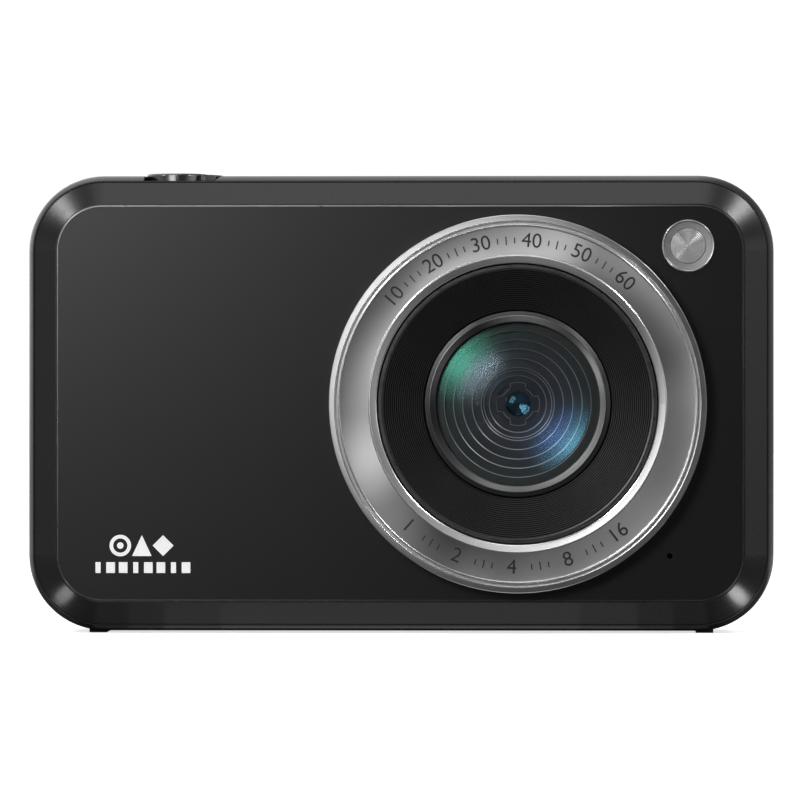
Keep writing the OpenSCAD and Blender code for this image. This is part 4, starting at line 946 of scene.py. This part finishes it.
def stage_floor(half=3.0):
    """White paper to the camera and dark in reflections."""
    mesh = bpy.data.meshes.new("floor")
    corners = [(-half, -half, 0), (half, -half, 0), (half, half, 0), (-half, half, 0)]
    mesh.from_pydata(corners, [], [(0, 1, 2, 3)])
    floor = bpy.data.objects.new("floor", mesh)
    bpy.context.scene.collection.objects.link(floor)
    paper = Paint("floor_white", (0.92, 0.92, 0.92), roughness=0.8, specular_ior_level=0.05)
    paper.tint(60, 0.01)
    paper.bsdf.inputs["Emission Color"].default_value = (1, 1, 1, 1)
    paper.bsdf.inputs["Emission Strength"].default_value = 0.7
    shade = paper.node("ShaderNodeBsdfDiffuse")
    shade.inputs["Color"].default_value = (0.13, 0.13, 0.13, 1)
    camera_sees(paper.tree, paper.bsdf, shade, "Material Output")
    mesh.materials.append(paper.mat)


def photo_camera():
    """Long lens, level with the camera's middle and slightly to its lens side."""
    distance = 0.9
    yaw = math.radians(1.5)
    across_mm = 112.1  # width of the view at the object
    sensor_mm = 36
    aim = Vector((-0.0002, 0.0, BODY_MID.z + 0.00045))
    data = bpy.data.cameras.new("photo_view")
    data.sensor_width = sensor_mm
    data.lens = sensor_mm * distance / (across_mm * MM)
    data.clip_start = 0.01
    view = bpy.data.objects.new("photo_view", data)
    bpy.context.scene.collection.objects.link(view)
    view.location = aim + Vector((math.sin(yaw), -math.cos(yaw), 0)) * distance
    view.rotation_euler = (aim - view.location).to_track_quat("-Z", "Y").to_euler()
    bpy.context.scene.camera = view


studio_world()
stage_floor()
photo_camera()

# soft key lamp at the upper left of the front, brightest in its middle
KEY = Vector((-0.12, -0.33, 0.13))
for size, power in ((0.17, 0.24), (0.12, 0.17), (0.07, 0.14)):
    area_light(f"key_{size}", KEY, (-0.02, 0, 0.035), (size, size), power, "DISK")

# one lamp for each corner's highlight; the bevel mirrors off degrees from the panel's own direction
CORNER_IN = 4.9 * MM
OFF = math.radians(64)


def corner_light(name, side, up, distance, size, power):
    corner_z = body_hi.z - CORNER_IN if up > 0 else body_lo.z + CORNER_IN
    corner = Vector((side * (body_hi.x - CORNER_IN), PANEL_Y + 1 * MM, corner_z))
    slant = math.sin(OFF) * math.sqrt(0.5)
    away = Vector((side * slant, -math.cos(OFF), up * slant))
    area_light(name, corner + away * distance, corner, (size, size), power, "DISK")


for side, power in ((-1, 0.8), (1, 0.75)):
    corner_light(f"corner_{side}_top", side, 1, 0.5, 0.12, power)

# pale strip on the table under the lower bevel, fading out before the corners
STRIP_DEPTH = 0.0066
for x, length, level in ((0, 0.05, 0.44), (0.029, 0.008, 0.34), (-0.029, 0.008, 0.34), (0.0355, 0.005, 0.2),
                         (-0.0355, 0.005, 0.2), (0.0405, 0.005, 0.1), (-0.0405, 0.005, 0.1)):
    place = Vector((x, PANEL_Y + 0.4 * MM, 0.2 * MM))
    area_light("low_strip", place, place + Vector((0, 0, 0.0098)), (length, STRIP_DEPTH),
               level * math.pi * length * STRIP_DEPTH)

# pale table behind the camera, seen in the rear face
area_light("rear_table", (0, 0.29, 0.0004), (0, 0.29, 1), (0.8, 0.54), 0.7)

# a short arc of glints on the upper left of the front glass
GLINT_OUT, GLINT_Y = 0.15, -0.46
for azimuth in (118, 128, 138):
    a = math.radians(azimuth)
    place = (LENS.x + GLINT_OUT * math.cos(a), GLINT_Y, LENS.z + GLINT_OUT * math.sin(a))
    area_light("glint", place, (LENS.x, 0, LENS.z), (0.03, 0.03), 0.014, "DISK")

# small lamps close to the lower corners, where the bevel would mirror only the dark floor
for side, power in ((-1, 0.00013), (1, 0.0003)):
    corner_light(f"corner_{side}_low", side, -1, 0.0062, 0.0035, power)
bpy.context.scene.view_settings.view_transform = "Standard"
